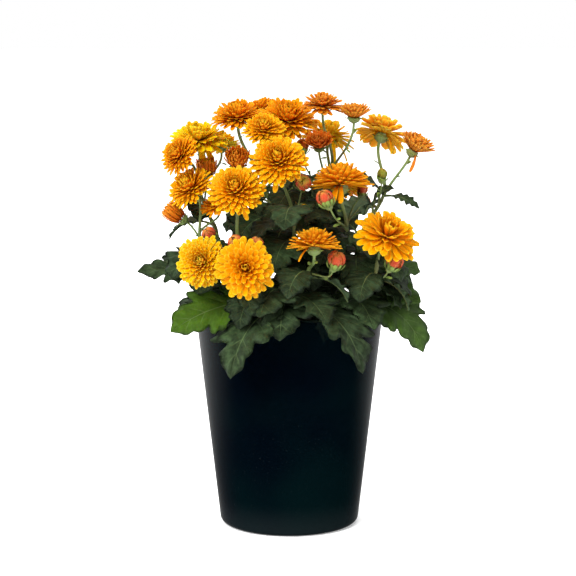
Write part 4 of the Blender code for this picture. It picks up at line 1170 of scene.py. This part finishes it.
def leaf_blade(leaf, number, settings):
    """Points, faces, map and undersides of one leaf's blade."""
    small = min(max((BROAD_FROM_LENGTH - leaf.length) / (BROAD_FROM_LENGTH - PLAIN_LENGTH), 0), 1)
    edge = smooth_edge(PLAIN_SHARE * small)
    rows = len(edge)
    along = np.arange(rows) / (rows - 1)
    zero = np.zeros(rows)
    beat = np.random.default_rng(number).uniform(0, math.tau, 4)
    veins = np.array([2 * row / (rows - 1) for row in VEIN_ROWS])
    gap = np.min(np.abs(along[:, None] - veins[None, :]), axis=1)
    crest = 1 - np.exp(-(gap / VEIN_VALLEY) ** 2)
    thick = settings.thickness / MM / 2
    points = []
    flat = []
    under = []

    def line(share, offset, lift, across, below):
        """Adds points along the blade and returns their numbers."""
        point, side, upper = leaf_frame(leaf, PETIOLE_SHARE + (1 - PETIOLE_SHARE) * share)
        rise = np.abs(offset) * LEAF_FOLD + lift
        points.append(point + side * offset[:, None] + upper * rise[:, None])
        flat.append(np.column_stack((zero + across, along)))
        under.append(zero + below)
        return [rows * (len(points) - 1) + k for k in range(rows)]

    ribs = [line(edge[:, 2], zero, zero + lift, 0.5, below)
            for below, lift in ((0, thick - RIB_SINK), (1, -thick))]
    sheets = {(hand, below): [ribs[below]] for hand in (1, -1) for below in (0, 1)}
    for hand in (1, -1):
        lobes = 1 + LOBE_SWAY * np.sin(along * LOBE_WAVES + beat[0] * hand)
        lobes += HAND_BIAS * hand * math.sin(beat[1])
        reach = edge[:, 1] * leaf.width / 2 * leaf.spread * lobes
        wave = settings.wave / MM * np.sin(along * EDGE_WAVES + beat[2] + hand * beat[3])
        for share in np.arange(1, settings.across + 1) / settings.across:
            offset = np.maximum(reach, LEAST_HALF) * share * hand
            offset[-1] = 0.0
            shares = edge[:, 2] + (edge[:, 0] - edge[:, 2]) * share
            pucker = settings.pucker / MM * crest * math.sin(math.pi * share ** 0.8)
            lift = (wave * share ** 2 + pucker) * np.minimum(reach / FLAT_BELOW, 1.0)
            lens = thick * (1 - share * EDGE_THINNING)
            if share < 1:
                for below, half in ((0, lens), (1, -lens)):
                    row = line(shares, offset, lift + half, 0.5 + 0.5 * hand * share, below)
                    sheets[hand, below].append(row)
            else:
                rim = line(shares, offset, lift, 0.5 + 0.5 * hand, 0.5)
                sheets[hand, 0].append(rim)
                sheets[hand, 1].append(rim)
    # Both halves end in one tip
    sheets[-1, 0][-1][-1] = sheets[1, 0][-1][-1]
    faces = []
    for (hand, below), lines in sheets.items():
        for inner, outer in zip(lines, lines[1:]):
            for k in range(rows - 1):
                corners = (inner[k], outer[k], outer[k + 1], inner[k + 1])
                faces.append(corners[::-1] if (hand == 1) == (below == 0) else corners)
    # The blade's foot, between the upper and the lower sheet. At the tip both halves meet in a line
    for hand, first in ((1, 0), (-1, 1)):
        faces.append(tuple(row[0] for row in sheets[hand, first] + sheets[hand, 1 - first][-2::-1]))
    return np.vstack(points), faces, np.vstack(flat), np.concatenate(under)


def leaf_piece(plant, leaves, finish, first):
    """All blades of one cutting as one piece."""
    settings = bpy.context.scene.mum_leaves
    blades = [leaf_blade(leaf, first + number, settings) for number, leaf in enumerate(leaves)]
    points, faces, flat, under = zip(*blades)
    starts = np.cumsum([0] + [len(some) for some in points])
    joined = [tuple(int(i + start) for i in face) for start, theirs in zip(starts, faces) for face in theirs]
    youth = np.repeat([leaf.youth for leaf in leaves], np.diff(starts))
    made = mesh_object("leaves_" + plant, np.vstack(points), joined, finish,
                       {"under": np.concatenate(under), "youth": youth}, np.vstack(flat))
    close_mesh(made)
    return made


def close_mesh(piece):
    """Merges what coincides, drops what has no area and turns the faces outwards."""
    work = bmesh.new()
    work.from_mesh(piece.data)
    bmesh.ops.remove_doubles(work, verts=work.verts[:], dist=1e-6)
    bmesh.ops.dissolve_degenerate(work, dist=1e-7, edges=work.edges[:])
    bmesh.ops.recalc_face_normals(work, faces=work.faces[:])
    work.to_mesh(piece.data)
    work.free()


class Lines:
    """Points of several paths with how thick and how old they are, and the edges along them."""

    def __init__(self):
        self.points = []
        self.thick = []
        self.age = []
        self.edges = []

    def add(self, points, thick, age):
        start = len(self.points)
        self.points += [tuple(p) for p in points]
        self.thick += [t * MM for t in thick]
        self.age += list(age)
        self.edges += [(start + k, start + k + 1) for k in range(len(points) - 1)]


def stem_lines(plant, paths, leaves):
    """Shoots, stalks with their cups, and leaf stalks of one cutting."""
    lines = Lines()
    shares = np.linspace(0, 1, PATH_POINTS)
    for name, home, parent, *_ in SHOOTS:
        if home != plant:
            continue
        path = paths[name]
        points = [on_path(path, t) for t in shares]
        thick = [mix((path.foot, path.end), t) for t in shares]
        if parent is None:
            age = [STEM_AGE[0], *mix(STEM_AGE, shares)]
            points.insert(0, Vector((path.p0.x, path.p0.y, STEM_ROOT)))
            thick.insert(0, path.foot)
        else:
            age = mix(SHOOT_AGE, shares)
            thick[0] *= SHOOT_SWELL
        lines.add(points, thick, age)
    for head in HEADS:
        if PLANT_OF[head.shoot] != plant:
            continue
        path = stalk_path(paths, head)
        seat, facing = head_seat(head)
        cup = CUP_OF_BUD if head.openness == 0.0 else CUP_OF_BLOOM + CUP_PER_HEAD * head.radius
        points = [on_path(path, t) for t in shares] + [path.p3 + facing * CALYX_DEPTH * up for up, _ in CUP]
        thick = [mix((path.end, path.foot), (1 - t) ** 3) for t in shares] + [cup * size for _, size in CUP]
        if head.openness > OPEN_FROM:
            points.append(seat + facing * head.radius * OPEN_RAISE)
            thick.append(head.radius * CUP_HEART)
        lines.add(points, thick, [*mix(STALK_AGE, shares), *[CUP_AGE] * (len(points) - len(shares))])
    along = np.append(np.linspace(0, PETIOLE_SHARE, 5), np.linspace(PETIOLE_SHARE, MIDRIB_END, 12)[1:])
    blade = np.clip((along - PETIOLE_SHARE) / (1 - PETIOLE_SHARE), 0, 1)
    thick = np.where(along < PETIOLE_SHARE, PETIOLE[0] - PETIOLE[1] * along, MIDRIB[0] - MIDRIB[1] * blade)
    sunk = MIDRIB_DEPTH * np.minimum(blade * 8, 1)
    for leaf in leaves:
        point, _, upper = leaf_frame(leaf, along)
        lines.add(point - upper * sunk[:, None], thick, mix(PETIOLE_AGE, blade))
    return lines


class DressPot(bpy.types.Operator):
    """Turn the glossy pot"""
    bl_idname = "mum.pot"
    bl_label = "Pot"

    def execute(self, context):
        settings = context.scene.mum_pot
        lip = POT_WALL / 2
        height = POT_HEIGHT - lip
        foot = arc((POT_BASE_RADIUS - POT_FOOT_FILLET, POT_FOOT_FILLET), POT_FOOT_FILLET, -90, 0, 8)
        inner = POT_BASE_RADIUS - POT_WALL
        outside = np.linspace(POT_FOOT_FILLET, height, POT_RINGS[0])[1:-1]
        inside = np.linspace(height, POT_FLOOR, POT_RINGS[1])[1:]
        profile = [
            (0.0, POT_HOLLOW), (POT_BASE_RADIUS - POT_RING - POT_RING_SLOPE, POT_HOLLOW),
            (POT_BASE_RADIUS - POT_RING, 0.0),
            *[(x + POT_LEAN * z, z) for x, z in foot],
            *[(POT_BASE_RADIUS + POT_LEAN * z, z) for z in outside],
            *arc((POT_RIM_RADIUS - lip, height), lip, 0, 180, 10),
            *[(inner + POT_LEAN * z, z) for z in inside],
            (0.0, POT_FLOOR),
        ]
        points, faces = turned(profile, settings.sides)
        finish = material("glaze", glaze, Specular_IOR_Level=0.02, Coat_Roughness=0.04, Coat_IOR=1.5)
        piece = mesh_object("pot_shell", points, faces, finish)
        dress(piece, "pot_black", "pot")
        return {"FINISHED"}


class DressSoil(bpy.types.Operator):
    """Fill the pot with crumbly compost"""
    bl_idname = "mum.soil"
    bl_label = "Soil"

    def execute(self, context):
        settings = context.scene.mum_soil
        edge = SOIL_CROWN - SOIL_EDGE_DROP
        profile = [(0.0, SOIL_ROOT), (SOIL_RADIUS - POT_LEAN * (edge - SOIL_ROOT), SOIL_ROOT)]
        shares = np.linspace(1.0, 0.0, SOIL_RINGS)
        profile += [(SOIL_RADIUS * s, SOIL_CROWN - SOIL_EDGE_DROP * s ** 3) for s in shares]
        points, faces = turned(profile, SOIL_SIDES)
        rough = np.array(points)
        top = rough[:, 2] > edge + SOIL_EVEN
        rough[top, 2] += np.random.default_rng(4).uniform(*SOIL_ROUGH, int(top.sum()))
        finish = material("compost", compost, Specular_IOR_Level=0.25)
        piece = mesh_object("soil_bed", rough, faces, finish)
        crumbs = mesh_object("crumb_bed", *top_of(rough, faces, edge), None)
        grow(crumbs, crumb_tree(),
             {"Density": float(settings.crumbs), "Size": settings.crumb, "Material": finish})
        dress(join("soil_bed", [piece, crumbs]), "soil_brown", "soil")
        return {"FINISHED"}


def top_of(points, faces, edge):
    """The faces that lie above a height, with their points."""
    chosen = [face for face in faces if min(points[i][2] for i in face) > edge]
    used = sorted({i for face in chosen for i in face})
    number = {old: new for new, old in enumerate(used)}
    return points[used], [tuple(number[i] for i in face) for face in chosen]


class DressStems(bpy.types.Operator):
    """Grow the stems, flower stalks, cups and leaf stalks"""
    bl_idname = "mum.stems"
    bl_label = "Stems"

    def execute(self, context):
        settings = context.scene.mum_stems
        paths = shoot_paths()
        leaves = grown_leaves(paths)
        finish = material("stem_skin", stem_skin, Subsurface_Weight=0.05, Subsurface_Scale=0.002)
        tree = tube_tree()
        for plant in PLANTS:
            lines = stem_lines(plant, paths, leaves[plant])
            piece = mesh_object("stems_" + plant, lines.points, [], None,
                                {"thick": lines.thick, "age": lines.age}, edges=lines.edges)
            grow(piece, tree, {"Sides": settings.sides, "Material": finish})
            dress(piece, "leaf_green", "stem_" + plant)
        return {"FINISHED"}


class DressLeaves(bpy.types.Operator):
    """Grow the lobed leaves"""
    bl_idname = "mum.leaves"
    bl_label = "Leaves"

    def execute(self, context):
        leaves = grown_leaves(shoot_paths())
        finish = material("leaf_skin", leaf_skin, Specular_IOR_Level=0.5)
        first = 0
        for plant in PLANTS:
            piece = leaf_piece(plant, leaves[plant], finish, first)
            dress(piece, "leaf_green", "stem_" + plant)
            first += len(leaves[plant])
        return {"FINISHED"}


class DressHeads(bpy.types.Operator):
    """Grow the petals of every bloom and bud"""
    bl_idname = "mum.heads"
    bl_label = "Flower heads"

    def execute(self, context):
        settings = context.scene.mum_petals
        tree = petal_tree()
        slots = {row["node"]: row["material_slot"] for row in frame["record"]["subparts"]}
        finishes = {name: material("petal_" + name, petal_skin(colours), Subsurface_Weight=0.3,
                                   Subsurface_Scale=0.002, Specular_IOR_Level=0.1)
                    for name, colours in COLOURINGS.items()}
        for seed, head in enumerate(HEADS):
            seat, facing = head_seat(head)
            place = seat + facing * head.radius * (OPEN_RAISE if head.openness > OPEN_FROM else 0.0)
            seated = (tree, place, facing)
            grown = (head.radius, seed, finishes[head.colouring])
            name = "petals_" + head.name
            pieces = [petals_at(name, *seated, FORMS[head.form], *grown, settings.fullness)]
            for owner, spin, lift, long, half in STRAYS:
                if owner == head.name:
                    form = STRAY._replace(lift=(lift, lift), long=(long, long), wide=(half, half))
                    pieces.append(petals_at("stray", *seated, form, *grown, spin=spin))
            dress(join(name, pieces), slots[head.name], head.name)
        return {"FINISHED"}


class DressSepals(bpy.types.Operator):
    """Set the green scales under every head"""
    bl_idname = "mum.sepals"
    bl_label = "Sepals"

    def execute(self, context):
        finish = material("sepal_skin", sepal_skin, Specular_IOR_Level=0.35)
        tree = bpy.data.node_groups["Petals"]
        scales = {plant: [] for plant in PLANTS}
        paths = shoot_paths()
        for seed, head in enumerate(HEADS):
            form, size = (SEPALS_SHUT, head.radius / FULL_BUD) if head.openness == 0.0 else (SEPALS_OPEN, 1.0)
            seat, facing = head_seat(head)
            pieces = scales[PLANT_OF[head.shoot]]
            pieces.append(petals_at("sepals_" + head.name, tree, seat - facing * SEPAL_DROP, facing, form,
                                    size, 100 + seed, finish))
            path = stalk_path(paths, head)
            if (path.p3 - path.p0).length > BRACT_FROM:
                for share in BRACT_SHARES:
                    spin = GOLDEN_ANGLE * seed + 400 * share
                    pieces.append(petals_at("bract", tree, on_path(path, share), along_path(path, share),
                                            BRACT, BRACT_LENGTH, 200 + seed, finish, spin=spin))
        for plant, pieces in scales.items():
            dress(join("sepals_" + plant, pieces), "leaf_green", "stem_" + plant)
        return {"FINISHED"}


class SetStage(bpy.types.Operator):
    """Set the floor, the soft studio light and the camera"""
    bl_idname = "mum.stage"
    bl_label = "Stage"

    def execute(self, context):
        settings = context.scene.mum_stage
        finish = material("floor", floor_finish, Specular_IOR_Level=0.0, Emission_Strength=0.3)
        corners = [(x * FLOOR_REACH, y * FLOOR_REACH, 0) for x, y in ((-1, -1), (1, -1), (1, 1), (-1, 1))]
        floor = mesh_object("floor", corners, [(0, 1, 2, 3)], finish)
        floor.location.z = -FLOOR_GAP * MM
        floor.visible_glossy = False
        set_world(context.scene)
        for row in LAMPS:
            light(*row)
        lens = bpy.data.cameras.new("camera")
        lens.lens = settings.lens
        lens.shift_x = settings.shift
        camera = bpy.data.objects.new("camera", lens)
        camera.location = (0, -settings.distance, settings.height)
        camera.rotation_euler = (math.pi / 2 - settings.pitch, 0, 0)
        context.scene.collection.objects.link(camera)
        context.scene.camera = camera
        context.scene.view_settings.view_transform = "Standard"
        return {"FINISHED"}


def floor_finish(tree):
    """Plain pale floor, very faintly uneven."""
    cloud = noise(tree, here(tree), 1.5, 1.0)
    return {"Base Color": cloud.blend(tuple(bpy.context.scene.mum_stage.floor), (0.95, 0.95, 0.95, 1.0)),
            "Roughness": cloud.step(0.0, 1.0, 0.85, 0.95)}


def set_world(scene):
    """White studio, darker in front, where the camera stands."""
    world = bpy.data.worlds.new("studio")
    world.use_nodes = True
    tree = world.node_tree
    sight = add(tree, "ShaderNodeTexCoord", None, None, 0)
    ahead = sight.part(1)
    soft = ahead.step(-0.75, 0.15, 0.12, 0.75)
    # What shines back from the glaze: pale walls behind, and nearer on the left than on the right
    wall = ahead - sight.part(0).step(-0.4, 0.4, 0.0, 0.3)
    mirrored = add(tree, "ShaderNodeLightPath", None, None, 3)
    soft = mirrored.blend(soft, wall.step(-0.3, 0.85, 0.0, 0.42))
    seen = add(tree, "ShaderNodeLightPath", None, None, 0)
    glow = seen.blend(soft, 1.0)
    background = tree.nodes["Background"]
    background.inputs["Color"].default_value = (1, 1, 1, 1)
    tree.links.new(glow.socket, background.inputs["Strength"])
    scene.world = world


def light(name, kind, power, place, target, spread):
    """Soft light that looks from a place at a point, and that no gloss mirrors."""
    lamp = bpy.data.lights.new(name, kind)
    lamp.energy = power
    for key, value in spread.items():
        setattr(lamp, key, value)
    made = bpy.data.objects.new(name, lamp)
    made.location = place
    made.rotation_euler = (Vector(target) - Vector(place)).to_track_quat("-Z", "Y").to_euler()
    made.visible_glossy = False
    bpy.context.scene.collection.objects.link(made)


class ChrysanthemumPanel(bpy.types.Panel):
    """Lists the operators in the 3D view's sidebar"""
    bl_idname = "VIEW3D_PT_chrysanthemum"
    bl_label = "Pot Chrysanthemum"
    bl_space_type = "VIEW_3D"
    bl_region_type = "UI"
    bl_category = "Chrysanthemum"

    def draw(self, context):
        for operator in OPERATORS:
            self.layout.operator(operator.bl_idname)


SETTINGS = {
    "mum_pot": PotSettings, "mum_soil": SoilSettings, "mum_stems": StemSettings,
    "mum_leaves": LeafSettings, "mum_petals": PetalSettings, "mum_stage": StageSettings,
}
OPERATORS = (DressPot, DressSoil, DressStems, DressLeaves, DressHeads, DressSepals, SetStage)


def register():
    """Registers the classes and hangs the settings on the scene."""
    for item in (*SETTINGS.values(), *OPERATORS, ChrysanthemumPanel):
        bpy.utils.register_class(item)
    for name, group in SETTINGS.items():
        setattr(bpy.types.Scene, name, PointerProperty(type=group))


def unregister():
    """Takes away what register added."""
    for name in SETTINGS:
        delattr(bpy.types.Scene, name)
    for item in (ChrysanthemumPanel, *reversed(OPERATORS), *SETTINGS.values()):
        bpy.utils.unregister_class(item)


def main():
    """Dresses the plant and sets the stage."""
    register()
    bpy.ops.mum.pot()
    bpy.ops.mum.soil()
    bpy.ops.mum.stems()
    bpy.ops.mum.leaves()
    bpy.ops.mum.heads()
    bpy.ops.mum.sepals()
    bpy.ops.mum.stage()


if __name__ == "__main__":
    main()
